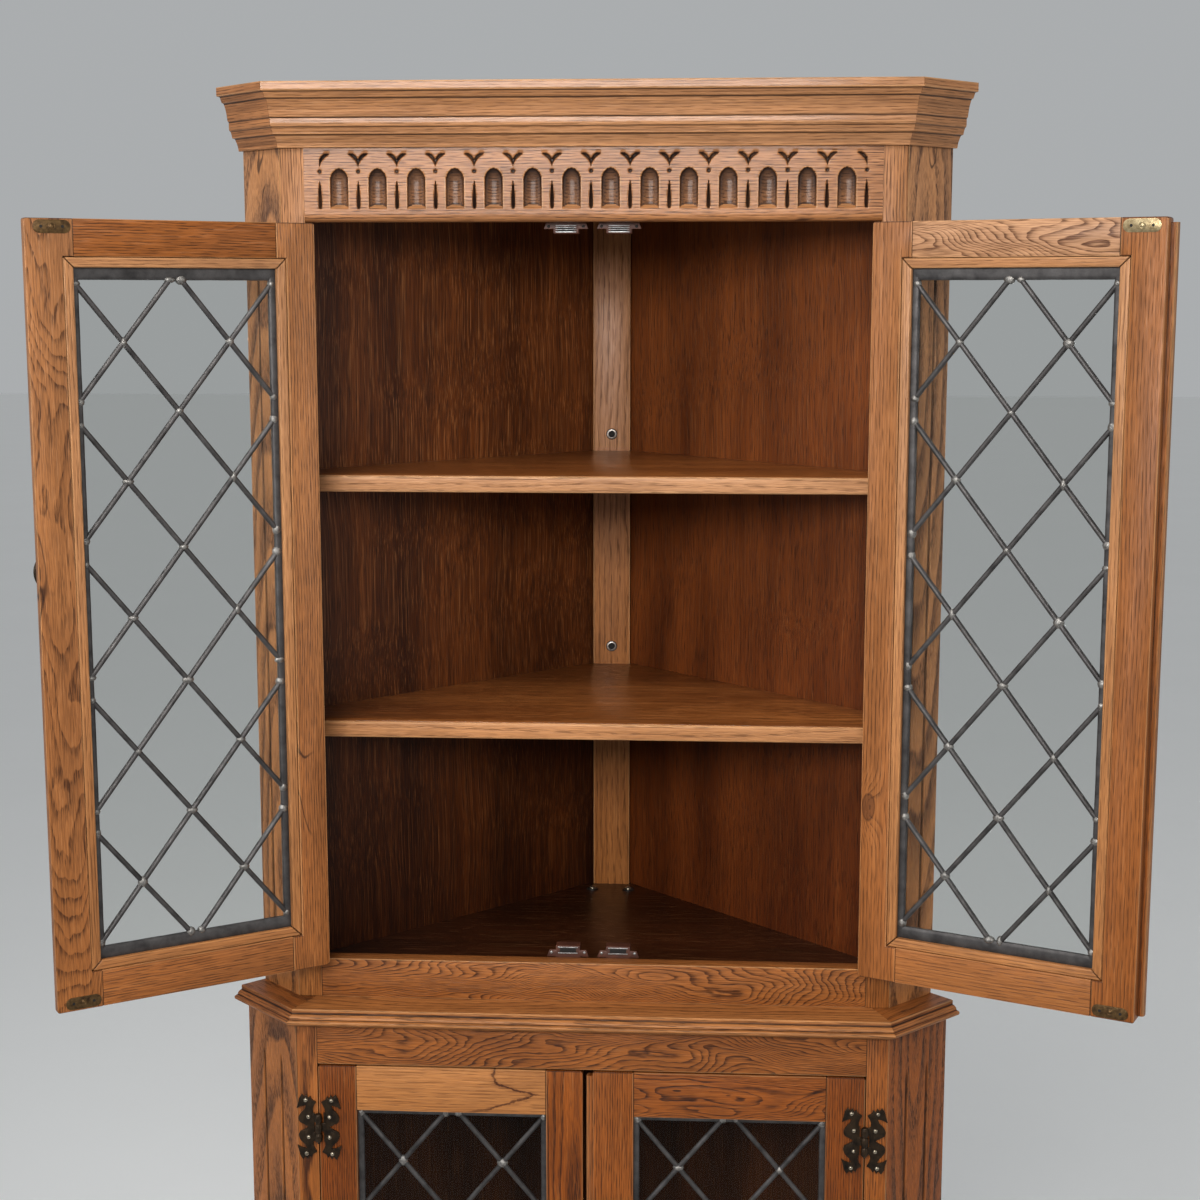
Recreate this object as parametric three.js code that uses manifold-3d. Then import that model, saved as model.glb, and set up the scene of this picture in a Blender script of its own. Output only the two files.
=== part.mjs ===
import * as THREE from "three";
import { mergeVertices } from "three/addons/utils/BufferGeometryUtils.js";
import Module from "manifold-3d";

const wasm = await Module();
wasm.setup();

// Corner cupboard in oak: a glazed upper case with carved frieze on a glazed lower case.
// Millimetres, +Z up, +Y towards the corner of the room, +X to the right.
// The origin is on the floor under the front face of the lower case, on the centre line.

// Plan of both cases
const doorwayHalf = 301;
const lowerStile = 21.4;
const upperStile = 24;
const upperSetback = 35;
const returnWide = 74.25;
const backFlat = 18;
const boardThick = 20;
const returnThick = 20;
const cornerFlat = 2.7;
const panelThick = 6;
const rebateLip = 8;
const backPostHalf = 23.25;
const backPostDepth = 20;
const seam = 0.2;
const overrun = 1;

const diagonal = Math.SQRT1_2;
const lowerHalf = doorwayHalf + lowerStile;
const upperHalf = doorwayHalf + upperStile;
const wallReach = upperHalf + upperSetback + returnWide / diagonal;
const backReach = wallReach - backFlat;
const backPostFront = backReach - backPostDepth;

// Heights from the floor up
const plinthHeight = 84;
const lowerRailHeight = 52;
const lowerDoorHeight = 625;
const lowerTopRailHeight = 47;
const waistThick = 18;
const upperRailHeight = 44;
const upperDoorHeight = 800;
const friezeHeight = 76;
const corniceHeight = 65;
const doorGap = 2;
const topBoardThick = 16;
const topBoardInset = 2;
const floorBoardThick = 16;
const shelfThick = 18;
const lowShelfShare = 0.362;
const highShelfShare = 0.683;
const shelfSetback = 30;

const lowerRailTop = plinthHeight + lowerRailHeight;
const lowerDoorFoot = lowerRailTop + doorGap;
const lowerTopRailFoot = lowerDoorFoot + lowerDoorHeight + doorGap;
const waistFoot = lowerTopRailFoot + lowerTopRailHeight;
const waistTop = waistFoot + waistThick;
const upperRailTop = waistTop + upperRailHeight;
const upperDoorFoot = upperRailTop + doorGap;
const friezeFoot = upperDoorFoot + upperDoorHeight + doorGap;
const corniceFoot = friezeFoot + friezeHeight;
const corniceTop = corniceFoot + corniceHeight;
const topBoardFoot = corniceTop - topBoardInset - topBoardThick;
const upperInside = friezeFoot - waistTop;

// Cornice, waist moulding and plinth, as shares of their projection and height
const corniceOut = 30.5;
const corniceOutShares = [0.157, 0.174, 0.203, 0.302, 0.413, 0.426, 0.469, 0.518, 0.534, 0.534, 0.584,
  0.597, 0.636, 0.715, 0.793, 0.83, 0.866, 1, 1];
const corniceUpShares = [0, 0.023, 0.092, 0.192, 0.208, 0.246, 0.308, 0.323, 0.362, 0.454, 0.477,
  0.523, 0.631, 0.746, 0.762, 0.8, 0.846, 0.858, 1];
const waistOut = 17.7;
const waistOutShares = [0.62, 0.75, 0.94, 1, 0.97, 0.88, 0.757, 0.723, 0.61, 0.5, 0.452, 0.452];
const waistUpShares = [0, 0.1, 0.19, 0.31, 0.394, 0.433, 0.467, 0.578, 0.678, 0.711, 0.739, 1];
const plinthOut = 8;
const plinthOutShares = [1, 1, 0.75, 0.35];
const plinthUpShares = [0, 0.91, 0.96, 1];

// Flutes on the canted returns
const fluteWidth = 5.5;
const fluteDepth = 2.4;
const fluteTip = 16;
const fluteEndAway = 45;
const fluteBelowFrieze = 8;
const flutePlaceShares = [0.34, 0.68];
const fluteEndShare = 0.06;

// Carving on the frieze
const carvedArches = 14;
const archPitchShare = 0.1349;
const archWidth = 19.2;
const archHeight = 41;
const archSill = 13.7;
const archDepth = 5;
const archFloorShare = 0.62;
const archSteps = 8;
const swallowHalf = 9;
const swallowHeight = 12.4;
const swallowFoot = 57.4;
const swallowDepth = 3;
const swallowAcrossShares = [0, 0.3, 1, 0.42];
const swallowUpShares = [0, 0.46, 1, 0.8];
const swallowNotchShare = 0.52;
const slitWidth = 4;
const slitHeight = 27.2;
const slitDepth = 2.6;
const slitAcrossShares = [0, 0.85, 1, 0.5];
const slitUpShares = [0, 0.12, 0.35, 0.85];
const dotWidth = 3.6;
const dotAbove = 51.7;
const dotDepth = 1.6;
const dotSides = 6;
const pocketFloorShare = 0.35;
const friezeRound = 6;
const friezeRoundSteps = 4;

// Doors
const axisOut = 4.6;
const axisInset = 1;
const doorThick = 21;
const doorCorner = 5;
const doorCornerSteps = 4;
const hingeStile = 42;
const meetingStile = 40.5;
const upperFootRail = 49;
const upperHeadRail = 47;
const lowerFootRail = 52;
const lowerHeadRail = 51;
const leftDoorShort = 7.5;
const rightDoorShort = 3.4;
const meetingLip = 7;
const meetingLipThick = 10;
const meetingTongue = 6.5;
const tongueThick = 9.6;
const leftOpenDegrees = 146;
const rightOpenDegrees = 155;

const pinHalf = doorwayHalf - axisInset;
const leftDoorWidth = pinHalf - leftDoorShort;
const rightDoorWidth = pinHalf - rightDoorShort;
const sightWidth = leftDoorWidth - hingeStile - meetingStile;

// Leaded lights
const glassThick = 3;
const glassPlay = 0.3;
const cameLeaf = 1.3;
const cameWidth = 5.5;
const cameBed = 5;
const cameBack = 1.6;
const borderSide = 6.5;
const upperBorderEnd = 12;
const lowerBorderEnd = 7;
const latticeAcrossShare = 0.2643;
const upperLatticeUpShare = 0.09886;
const lowerLatticeUpShare = 0.1274;
const leastPane = 60;

// Cockshead hinges
const hingeFromEnd = 71;
const leafHalfHeight = 38;
const leafReach = 24.6;
const leafThick = 1.6;
const leafNeck = 5.2;
const barrelRadius = 4.25;
const barrelHalf = 17;
const middleKnuckle = 11;
const knuckleGap = 0.5;
const hingePinRadius = 2;
const hingePinPlay = 0.35;
const barrelSides = 10;
const leafAcrossShares = [0.3, 0.285, 0.236, 0.268, 0.43, 0.577, 0.715, 0.878, 0.943, 0.919, 1, 0.829,
  0.691, 0.65, 0.756, 0.902, 0.943, 0.878];
const leafUpShares = [0.46, 0.58, 0.724, 0.868, 0.984, 0.947, 1, 0.953, 0.816, 0.695, 0.542, 0.558,
  0.653, 0.568, 0.458, 0.358, 0.232, 0.11];
const leafWaistShare = 0.764;
const pinAcrossShares = [0.58, 0.47];
const pinUpShares = [0.82, 0.31];
const pinHeadRadius = 2.1;
const pinHeadRise = 1.2;
const pinHeadTopShare = 0.45;
const pinHeadSides = 6;

// Ring pulls
const pullFromSight = 20;
const pullAboveMiddle = 81;
const rosetteRadius = 18;
const rosetteThick = 2.6;
const rosetteSides = 16;
const bossRadius = 6;
const bossReach = 21;
const bossSides = 12;
const pivotReach = 16.5;
const eyeRadius = 4.4;
const eyeThick = 4;
const eyePlay = 0.6;
const eyeSides = 12;
const pivotPinRadius = 1.5;
const pivotPinPlay = 0.35;
const pivotPinSides = 8;
const ringRadius = 20.2;
const ringWire = 2.7;
const ringDrop = 30.2;
const ringWireSides = 6;
const ringSteps = 20;

// Magnetic catches
const catchPairLength = 106;
const catchStripThick = 1.6;
const catchStripHeight = 13;
const catchStripEdge = 1;
const catchBodyWidth = 27.5;
const catchBodyDepth = 18;
const catchBodyHeight = 20;
const catchBodyStand = 12;
const catchFromCentre = 28;

// Materials
function material(color, roughness, metalness = 0) {
  return new THREE.MeshStandardMaterial({ color, roughness, metalness });
}

const oak = material(0xb0733c, 0.42);
const oakDark = material(0x8a5127, 0.42);
const panelWood = material(0x5f351b, 0.5);
const glassClear = material(0xdfe8e6, 0.06);
glassClear.transparent = true;
glassClear.opacity = 0.25;
const lead = material(0x4b4c50, 0.5, 0.7);
const bronze = material(0x2b241d, 0.45, 0.8);
const catchSteel = material(0x6a5a48, 0.5, 0.4);

const root = new THREE.Group();

function add(name, geometry, finish, parent = root) {
  const mesh = new THREE.Mesh(geometry, finish);
  mesh.name = name;
  parent.add(mesh);
  return mesh;
}

// Geometry helpers
function positionsOnly(geometry) {
  const bare = geometry.clone();
  bare.deleteAttribute("normal");
  bare.deleteAttribute("uv");
  return mergeVertices(bare);
}

function flipFaces(geometry) {
  const index = geometry.index.array;
  for (let i = 0; i < index.length; i += 3) {
    const second = index[i + 1];
    index[i + 1] = index[i + 2];
    index[i + 2] = second;
  }
  return geometry;
}

function signedVolume(geometry) {
  const place = geometry.attributes.position;
  const index = geometry.index.array;
  const [a, b, c] = [new THREE.Vector3(), new THREE.Vector3(), new THREE.Vector3()];
  let sum = 0;
  for (let i = 0; i < index.length; i += 3) {
    a.fromBufferAttribute(place, index[i]);
    b.fromBufferAttribute(place, index[i + 1]);
    c.fromBufferAttribute(place, index[i + 2]);
    sum += a.dot(b.cross(c));
  }
  return sum;
}

function outward(geometry) {
  return signedVolume(geometry) < 0 ? flipFaces(geometry) : geometry;
}

// Closed body through rings of points that all have the same count
function throughRings(rings) {
  const count = rings[0].length;
  const geometry = new THREE.BufferGeometry();
  geometry.setAttribute("position", new THREE.Float32BufferAttribute(rings.flat(2), 3));
  const span = [0, 1, 2].map((k) => {
    const values = rings[0].map((p) => p[k]);
    return Math.max(...values) - Math.min(...values);
  });
  const thin = span.indexOf(Math.min(...span));
  const flat = rings[0].map((p) => new THREE.Vector2(...p.filter((_, k) => k !== thin)));
  const cap = THREE.ShapeUtils.triangulateShape(flat, []);
  const index = [];
  for (let r = 0; r + 1 < rings.length; r += 1) {
    for (let i = 0; i < count; i += 1) {
      const a = r * count + i;
      const b = r * count + (i + 1) % count;
      index.push(a, b, b + count, a, b + count, a + count);
    }
  }
  const last = (rings.length - 1) * count;
  const clockwise = THREE.ShapeUtils.isClockWise(flat);
  for (const [a, b, c] of cap) {
    if (clockwise) {
      index.push(a, b, c, a + last, c + last, b + last);
    } else {
      index.push(a, c, b, a + last, b + last, c + last);
    }
  }
  geometry.setIndex(index);
  return outward(geometry);
}

function extruded(points, holes, depth) {
  const shape = new THREE.Shape(points.map(([x, y]) => new THREE.Vector2(x, y)));
  shape.holes = holes.map((hole) => new THREE.Path(hole.map(([x, y]) => new THREE.Vector2(x, y))));
  return new THREE.ExtrudeGeometry(shape, { depth, bevelEnabled: false });
}

// Upright prism over a plan outline
function column(points, foot, top, holes = []) {
  const geometry = extruded(points, holes, top - foot);
  geometry.translate(0, 0, foot);
  return outward(positionsOnly(geometry));
}

// Prism from y = front to y = back over an outline in x and z
function slab(points, front, back, holes = []) {
  const geometry = extruded(points, holes, back - front);
  geometry.rotateX(Math.PI / 2);
  geometry.translate(0, back, 0);
  return outward(positionsOnly(geometry));
}

// Prism across the cupboard over an outline in y and z
function bar(points, left, right, holes = []) {
  const geometry = extruded(points, holes, right - left);
  geometry.rotateY(Math.PI / 2);
  geometry.rotateX(Math.PI / 2);
  geometry.translate(left, 0, 0);
  return outward(positionsOnly(geometry));
}

function rectangle(left, right, foot, top) {
  return [[left, foot], [right, foot], [right, top], [left, top]];
}

function block(left, right, front, back, foot, top) {
  return column(rectangle(left, right, front, back), foot, top);
}

function circle(radius, sides, x = 0, y = 0) {
  return Array.from({ length: sides }, (_, i) => {
    const turn = (2 * Math.PI * (i + 0.5)) / sides;
    return [x + radius * Math.cos(turn), y + radius * Math.sin(turn)];
  });
}

function solid(geometry) {
  const bare = outward(positionsOnly(geometry));
  return new wasm.Manifold(new wasm.Mesh({
    numProp: 3,
    vertProperties: new Float32Array(bare.attributes.position.array),
    triVerts: new Uint32Array(bare.index.array),
  }));
}

function geometryOf(body) {
  const mesh = body.getMesh();
  const geometry = new THREE.BufferGeometry();
  geometry.setAttribute("position", new THREE.Float32BufferAttribute(mesh.vertProperties, 3));
  geometry.setIndex(Array.from(mesh.triVerts));
  return geometry;
}

function joined(...geometries) {
  return geometryOf(geometries.map(solid).reduce((whole, body) => whole.add(body)));
}

function cut(geometry, ...tools) {
  return geometryOf(tools.map(solid).reduce((rest, tool) => rest.subtract(tool), solid(geometry)));
}

function mirrored(geometry) {
  const other = geometry.clone();
  other.scale(-1, 1, 1);
  return flipFaces(other);
}

function addPair(leftName, rightName, rightGeometry, finish) {
  add(rightName, rightGeometry, finish);
  add(leftName, mirrored(rightGeometry), finish);
}

// Plan points of a case, moved out from its faces by a projection
function planCorner(half, front, out) {
  return [half + out * Math.tan(Math.PI / 8), front - out];
}

function planEnd(half, front, out) {
  const across = half - front + out / diagonal;
  return [(wallReach + across) / 2, (wallReach - across) / 2];
}

const flipX = ([x, y]) => [-x, y];
const closedBack = (right) => [...right, ...right.map(flipX).reverse()];

function postPlan(half, front) {
  const [endX, endY] = planEnd(half, front, 0);
  const step = rebateLip * diagonal;
  const depth = (panelThick + seam) * diagonal;
  const rest = (returnThick - rebateLip) * diagonal;
  const insideLine = half - front - returnThick / diagonal;
  const back = front + boardThick;
  return [
    [doorwayHalf, front],
    [half - cornerFlat, front],
    [half + cornerFlat * diagonal, front + cornerFlat * diagonal],
    [endX, endY],
    [endX - step, endY + step],
    [endX - step - depth, endY + step - depth],
    [endX - step - depth - rest, endY + step - depth + rest],
    [back + insideLine, back],
    [doorwayHalf, back],
  ];
}

function panelPlan(half, front) {
  const [endX, endY] = planEnd(half, front, 0);
  const step = (rebateLip + seam) * diagonal;
  const start = [endX - step, endY + step];
  return [
    start,
    [backFlat, backReach],
    [backFlat - panelThick / diagonal, backReach],
    [start[0] - panelThick * diagonal, start[1] - panelThick * diagonal],
  ];
}

function insidePlan(half, front, shelfFront) {
  const insideLine = half - front - (returnThick + seam) / diagonal;
  const wallLine = wallReach - (panelThick + seam) / diagonal;
  return closedBack([
    [shelfFront + insideLine, shelfFront],
    [(wallLine + insideLine) / 2, (wallLine - insideLine) / 2],
    [backPostHalf + seam, wallLine - backPostHalf - seam],
    [backPostHalf + seam, backPostFront - seam],
  ]);
}

function backPostPlan() {
  const wallLine = wallReach - (panelThick + seam) / diagonal;
  return closedBack([
    [backPostHalf, backPostFront],
    [backPostHalf, wallLine - backPostHalf],
    [wallLine - backReach, backReach],
  ]);
}

function wholePlan(half, front, out) {
  return closedBack([planCorner(half, front, out), planEnd(half, front, out), [backFlat, backReach]]);
}

// Moulding that runs along both returns and the front, with its ends on the walls
function mouldingRun(half, front, profile) {
  const at = (point, side) => profile.map(([out, up]) => {
    const [x, y] = point(half, front, out);
    return [side * x, y, up];
  });
  const rings = [at(planEnd, -1), at(planCorner, -1), at(planCorner, 1), at(planEnd, 1)];
  return throughRings(rings);
}

function fluteCutter(half, front, placeShare, foot, top) {
  const [startX, startY] = planCorner(half, front, 0);
  const [endX, endY] = planEnd(half, front, 0);
  const x = startX + (endX - startX) * placeShare;
  const y = startY + (endY - startY) * placeShare;
  const section = [[-fluteWidth / 2, overrun], [fluteWidth / 2, overrun], [0, -fluteDepth]];
  const ring = (z, share) => section.map(([along, out]) => {
    const narrow = along * share;
    const deep = out > 0 ? out : out * share;
    return [x + (narrow + deep) * diagonal, y + (narrow - deep) * diagonal, z];
  });
  return throughRings([
    ring(foot, fluteEndShare),
    ring(foot + fluteTip, 1),
    ring(top - fluteTip, 1),
    ring(top, fluteEndShare),
  ]);
}

function post(half, front, foot, top, fluteFoot, fluteTop) {
  const cutters = flutePlaceShares.map((share) => fluteCutter(half, front, share, fluteFoot, fluteTop));
  return cut(column(postPlan(half, front), foot, top), ...cutters);
}

// Lower case
const plinthInside = seam - rebateLip;
const plinthProfile = [
  [plinthInside, 0],
  ...plinthOutShares.map((share, i) => [plinthOut * share, plinthHeight * plinthUpShares[i]]),
  [plinthInside, plinthHeight],
];
add("plinth", mouldingRun(lowerHalf, 0, plinthProfile), oakDark);
addPair("lower_left_post", "lower_right_post", post(
  lowerHalf,
  0,
  plinthHeight,
  waistFoot,
  plinthHeight + fluteEndAway,
  waistFoot - fluteEndAway,
), oakDark);
addPair("lower_left_panel", "lower_right_panel", column(panelPlan(lowerHalf, 0), 0, waistFoot), panelWood);
add("lower_back_post", column(backPostPlan(), 0, waistFoot), oakDark);
const lowerRail = (foot, top) => block(-doorwayHalf, doorwayHalf, 0, boardThick, foot, top);
add("lower_bottom_rail", lowerRail(plinthHeight, lowerRailTop), oakDark);
add("lower_top_rail", lowerRail(lowerTopRailFoot, waistFoot), oakDark);
add("lower_bottom_board", column(
  insidePlan(lowerHalf, 0, boardThick),
  plinthHeight,
  plinthHeight + floorBoardThick,
), panelWood);

const waistRings = waistOutShares.map((share, i) => wholePlan(lowerHalf, 0, waistOut * share)
  .map(([x, y]) => [x, y, waistFoot + waistThick * waistUpShares[i]]));
add("waist_board", throughRings(waistRings), oak);

// Upper case
addPair("upper_left_post", "upper_right_post", post(
  upperHalf,
  upperSetback,
  waistTop,
  topBoardFoot,
  waistTop + fluteEndAway,
  friezeFoot - fluteBelowFrieze,
), oak);
addPair("upper_left_panel", "upper_right_panel", column(
  panelPlan(upperHalf, upperSetback),
  waistTop,
  topBoardFoot,
), panelWood);
add("upper_back_post", column(backPostPlan(), waistTop, topBoardFoot), oak);

const upperBack = upperSetback + boardThick;
add("upper_bottom_rail", block(
  -doorwayHalf,
  doorwayHalf,
  upperSetback,
  upperBack,
  waistTop,
  upperRailTop,
), oak);
add("upper_bottom_board", column(
  insidePlan(upperHalf, upperSetback, upperBack),
  waistTop,
  waistTop + floorBoardThick,
), oakDark);
const shelfPlan = insidePlan(upperHalf, upperSetback, upperSetback + shelfSetback);
for (const [name, share] of [["shelf_low", lowShelfShare], ["shelf_high", highShelfShare]]) {
  const shelfTop = waistTop + upperInside * share;
  add(name, column(shelfPlan, shelfTop - shelfThick, shelfTop), oak);
}
add("upper_top_board", column(
  wholePlan(upperHalf, upperSetback, -seam),
  topBoardFoot,
  topBoardFoot + topBoardThick,
), oakDark);

const corniceProfile = [
  [0, corniceFoot],
  ...corniceOutShares.map((share, i) => [
    corniceOut * share,
    corniceFoot + corniceHeight * corniceUpShares[i],
  ]),
  [0, corniceTop],
];
add("cornice", mouldingRun(upperHalf, upperSetback, corniceProfile), oak);

// Frieze board with its carving
const friezeSection = [[upperSetback, topBoardFoot]];
for (let i = 0; i <= friezeRoundSteps; i += 1) {
  const turn = (Math.PI / 2) * (i / friezeRoundSteps);
  friezeSection.push([
    upperSetback + friezeRound * (1 - Math.cos(turn)),
    friezeFoot + friezeRound * (1 - Math.sin(turn)),
  ]);
}
friezeSection.push([upperBack, friezeFoot], [upperBack, topBoardFoot]);

function pocket(outline, middle, depth, floorShare) {
  const ring = (y, share) => outline.map(([x, z]) => [
    middle[0] + (x - middle[0]) * share,
    y,
    middle[1] + (z - middle[1]) * share,
  ]);
  return throughRings([
    ring(upperSetback - overrun, 1),
    ring(upperSetback, 1),
    ring(upperSetback + depth, floorShare),
  ]);
}

function archPocket(x) {
  const half = archWidth / 2;
  const foot = friezeFoot + archSill;
  const spring = foot + archHeight - half;
  const outline = [[x - half, foot], [x + half, foot]];
  for (let i = 0; i <= archSteps; i += 1) {
    const turn = (Math.PI * i) / archSteps;
    outline.push([x + half * Math.cos(turn), spring + half * Math.sin(turn)]);
  }
  return pocket(outline, [x, foot + archHeight / 2], archDepth, archFloorShare);
}

function swallowPocket(x, from, to) {
  const foot = friezeFoot + swallowFoot;
  const right = swallowAcrossShares.map((share, i) => [
    share * swallowHalf,
    swallowUpShares[i] * swallowHeight,
  ]);
  const notch = [0, swallowNotchShare * swallowHeight];
  const wing = [...right, notch];
  const whole = [...wing, ...right.slice(1).map(flipX).reverse()];
  const halfWing = from < 0 && to > 0 ? whole : wing.map(([u, w]) => [from < 0 ? -u : u, w]);
  return pocket(halfWing.map(([u, w]) => [x + u, foot + w]), [x, foot + notch[1]], swallowDepth, 1);
}

function slitPocket(x) {
  const foot = friezeFoot + archSill;
  const right = slitAcrossShares.map((share, i) => [share * slitWidth / 2, slitUpShares[i] * slitHeight]);
  const outline = [...right, [0, slitHeight], ...right.slice(1).map(flipX).reverse()];
  return pocket(
    outline.map(([u, w]) => [x + u, foot + w]),
    [x, foot + slitHeight / 2],
    slitDepth,
    pocketFloorShare,
  );
}

function dotPocket(x) {
  const z = friezeFoot + dotAbove;
  return pocket(circle(dotWidth / 2, dotSides, x, z), [x, z], dotDepth, pocketFloorShare);
}

const carving = [];
const archPitch = doorwayHalf * archPitchShare;
const firstArch = -archPitch * (carvedArches - 1) / 2;
for (let i = 0; i < carvedArches; i += 1) {
  carving.push(archPocket(firstArch + archPitch * i));
}
for (let i = 0; i <= carvedArches; i += 1) {
  const x = firstArch + archPitch * (i - 0.5);
  const from = i === 0 ? 0 : -1;
  const to = i === carvedArches ? 0 : 1;
  carving.push(swallowPocket(x, from, to), slitPocket(x), dotPocket(x));
}
add("frieze_board", cut(bar(friezeSection, -doorwayHalf, doorwayHalf), ...carving), oak);

// Magnetic catches, one pair behind the rail and one behind the frieze
function catchPair(stripEdge, upSign) {
  const half = catchPairLength / 2;
  const level = (from, to) => [stripEdge - upSign * from, stripEdge - upSign * to].sort((a, b) => a - b);
  const [stripFoot, stripTop] = level(catchStripEdge, catchStripEdge + catchStripHeight);
  const [bodyFoot, bodyTop] = level(-catchBodyStand, catchBodyHeight - catchBodyStand);
  const front = upperBack + seam;
  const strip = block(-half, half, front, front + catchStripThick, stripFoot, stripTop);
  const bodies = [-catchFromCentre, catchFromCentre].map((x) => block(
    x - catchBodyWidth / 2,
    x + catchBodyWidth / 2,
    front + catchStripThick,
    front + catchStripThick + catchBodyDepth,
    bodyFoot,
    bodyTop,
  ));
  return joined(strip, ...bodies);
}
add("bottom_catches", catchPair(upperRailTop, 1), catchSteel);
add("top_catches", catchPair(friezeFoot, -1), catchSteel);

// Hinge leaves, drawn about their pin with the wood behind them at y = axisOut
const leafBack = axisOut - seam;
const leafFront = leafBack - leafThick;

function leafPlate(side) {
  const upper = leafAcrossShares.map((share, i) => [share * leafReach, leafUpShares[i] * leafHalfHeight]);
  const lower = upper.map(([x, z]) => [x, -z]).reverse();
  const waist = [leafWaistShare * leafReach, 0];
  const outline = [[leafNeck, barrelHalf], ...upper, waist, ...lower, [leafNeck, -barrelHalf]];
  return slab(outline.map(([x, z]) => [side * x, z]), leafFront, leafBack);
}

function leafPins(side) {
  const heads = [];
  for (const sign of [-1, 1]) {
    pinAcrossShares.forEach((share, i) => {
      const x = side * share * leafReach;
      const z = sign * pinUpShares[i] * leafHalfHeight;
      const ring = (y, radius) => circle(radius, pinHeadSides, x, z).map(([u, w]) => [u, y, w]);
      heads.push(throughRings([
        ring(leafBack, pinHeadRadius),
        ring(leafFront, pinHeadRadius),
        ring(leafFront - pinHeadRise, pinHeadRadius * pinHeadTopShare),
      ]));
    });
  }
  return heads;
}

function leafArm(side, foot, top) {
  return slab([[0, foot], [side * (leafNeck + overrun), foot], [side * (leafNeck + overrun), top], [0, top]],
    leafFront, leafBack);
}

const outerFoot = middleKnuckle / 2 + knuckleGap;

function frameLeaf(side) {
  const pin = column(circle(hingePinRadius, barrelSides), -outerFoot - overrun, outerFoot + overrun);
  const knuckles = [[-barrelHalf, -outerFoot], [outerFoot, barrelHalf]];
  return joined(
    leafPlate(side),
    pin,
    ...knuckles.map(([foot, top]) => column(circle(barrelRadius, barrelSides), foot, top)),
    ...knuckles.map(([foot, top]) => leafArm(side, foot, top)),
    ...leafPins(side),
  );
}

function doorLeaf(side) {
  const half = middleKnuckle / 2;
  const bore = circle(hingePinRadius + hingePinPlay, barrelSides);
  return joined(
    leafPlate(side),
    column(circle(barrelRadius, barrelSides), -half, half, [bore]),
    leafArm(side, -half, half),
    ...leafPins(side),
  );
}

// Ring pull, drawn about its pivot with the door face at y = pivotReach + seam behind it
function pullPlate() {
  const face = pivotReach;
  const disc = slab(circle(rosetteRadius, rosetteSides), face - rosetteThick, face);
  const boss = slab(circle(bossRadius, bossSides), face - bossReach, face - rosetteThick / 2);
  const slotHalf = eyeThick / 2 + eyePlay;
  const slot = block(
    -slotHalf,
    slotHalf,
    -bossReach,
    eyeRadius + eyePlay,
    -bossRadius - overrun,
    bossRadius + overrun,
  );
  const cheekHalf = bossRadius * diagonal;
  const pin = bar(circle(pivotPinRadius, pivotPinSides), -cheekHalf, cheekHalf);
  return joined(cut(joined(disc, boss), slot), pin);
}

function pullRing() {
  const eye = bar(
    circle(eyeRadius, eyeSides),
    -eyeThick / 2,
    eyeThick / 2,
    [circle(pivotPinRadius + pivotPinPlay, pivotPinSides)],
  );
  const stem = block(
    -eyeThick / 2,
    eyeThick / 2,
    -eyeThick / 2,
    eyeThick / 2,
    ringRadius - ringDrop,
    pivotPinRadius - eyeRadius,
  );
  const ring = new THREE.TorusGeometry(ringRadius, ringWire, ringWireSides, ringSteps);
  ring.rotateX(Math.PI / 2);
  ring.translate(0, 0, -ringDrop);
  return joined(eye, stem, ring);
}

// Doors, drawn closed about their hinge pin and then swung open by their group
function roundedRectangle(left, right, foot, top, side) {
  const points = [];
  const corners = [[right, foot, -1], [right, top, 0], [left, top, 1], [left, foot, 2]];
  for (const [x, z, quarter] of corners) {
    const inX = x === right ? x - doorCorner : x + doorCorner;
    const inZ = z === top ? z - doorCorner : z + doorCorner;
    for (let i = 0; i <= doorCornerSteps; i += 1) {
      const turn = (Math.PI / 2) * (quarter + i / doorCornerSteps);
      points.push([side * (inX + doorCorner * Math.cos(turn)), inZ + doorCorner * Math.sin(turn)]);
    }
  }
  return points;
}

// Keeps the part of a convex outline where value(point) is not negative
function clipped(points, value) {
  const kept = [];
  points.forEach((point, i) => {
    const next = points[(i + 1) % points.length];
    const [here, there] = [value(point), value(next)];
    if (here >= 0) {
      kept.push(point);
    }
    if ((here > 0 && there < 0) || (here < 0 && there > 0)) {
      const share = here / (here - there);
      kept.push([point[0] + (next[0] - point[0]) * share, point[1] + (next[1] - point[1]) * share]);
    }
  });
  return kept;
}

// Openings of the lattice: two cames cross on the centre line apexRow pitches from the middle
function panes(halfWidth, halfHeight, across, up, apexRow) {
  const shrink = 1 - (cameWidth / 2) * Math.hypot(across, up) / (across * up);
  const found = [];
  const columns = Math.ceil(halfWidth / across);
  const rows = Math.ceil(halfHeight / up);
  for (let i = -columns; i <= columns; i += 1) {
    for (let j = -rows; j <= rows; j += 1) {
      if ((i + j + apexRow) % 2 === 0) {
        continue;
      }
      let cell = [[1, 0], [0, 1], [-1, 0], [0, -1]]
        .map(([u, w]) => [(i + u * shrink) * across, (j + w * shrink) * up]);
      cell = clipped(cell, ([x]) => halfWidth - x);
      cell = clipped(cell, ([x]) => halfWidth + x);
      cell = clipped(cell, ([, z]) => halfHeight - z);
      cell = clipped(cell, ([, z]) => halfHeight + z);
      if (cell.length > 2 && Math.abs(THREE.ShapeUtils.area(cell.map(([x, y]) => ({ x, y })))) > leastPane) {
        found.push(cell);
      }
    }
  }
  return found;
}

const channelRoom = glassThick + 2 * glassPlay;
const leadThick = channelRoom + 2 * cameLeaf;
const leadFront = axisOut + (doorThick - leadThick) / 2;
const leadBack = leadFront + leadThick;

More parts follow.
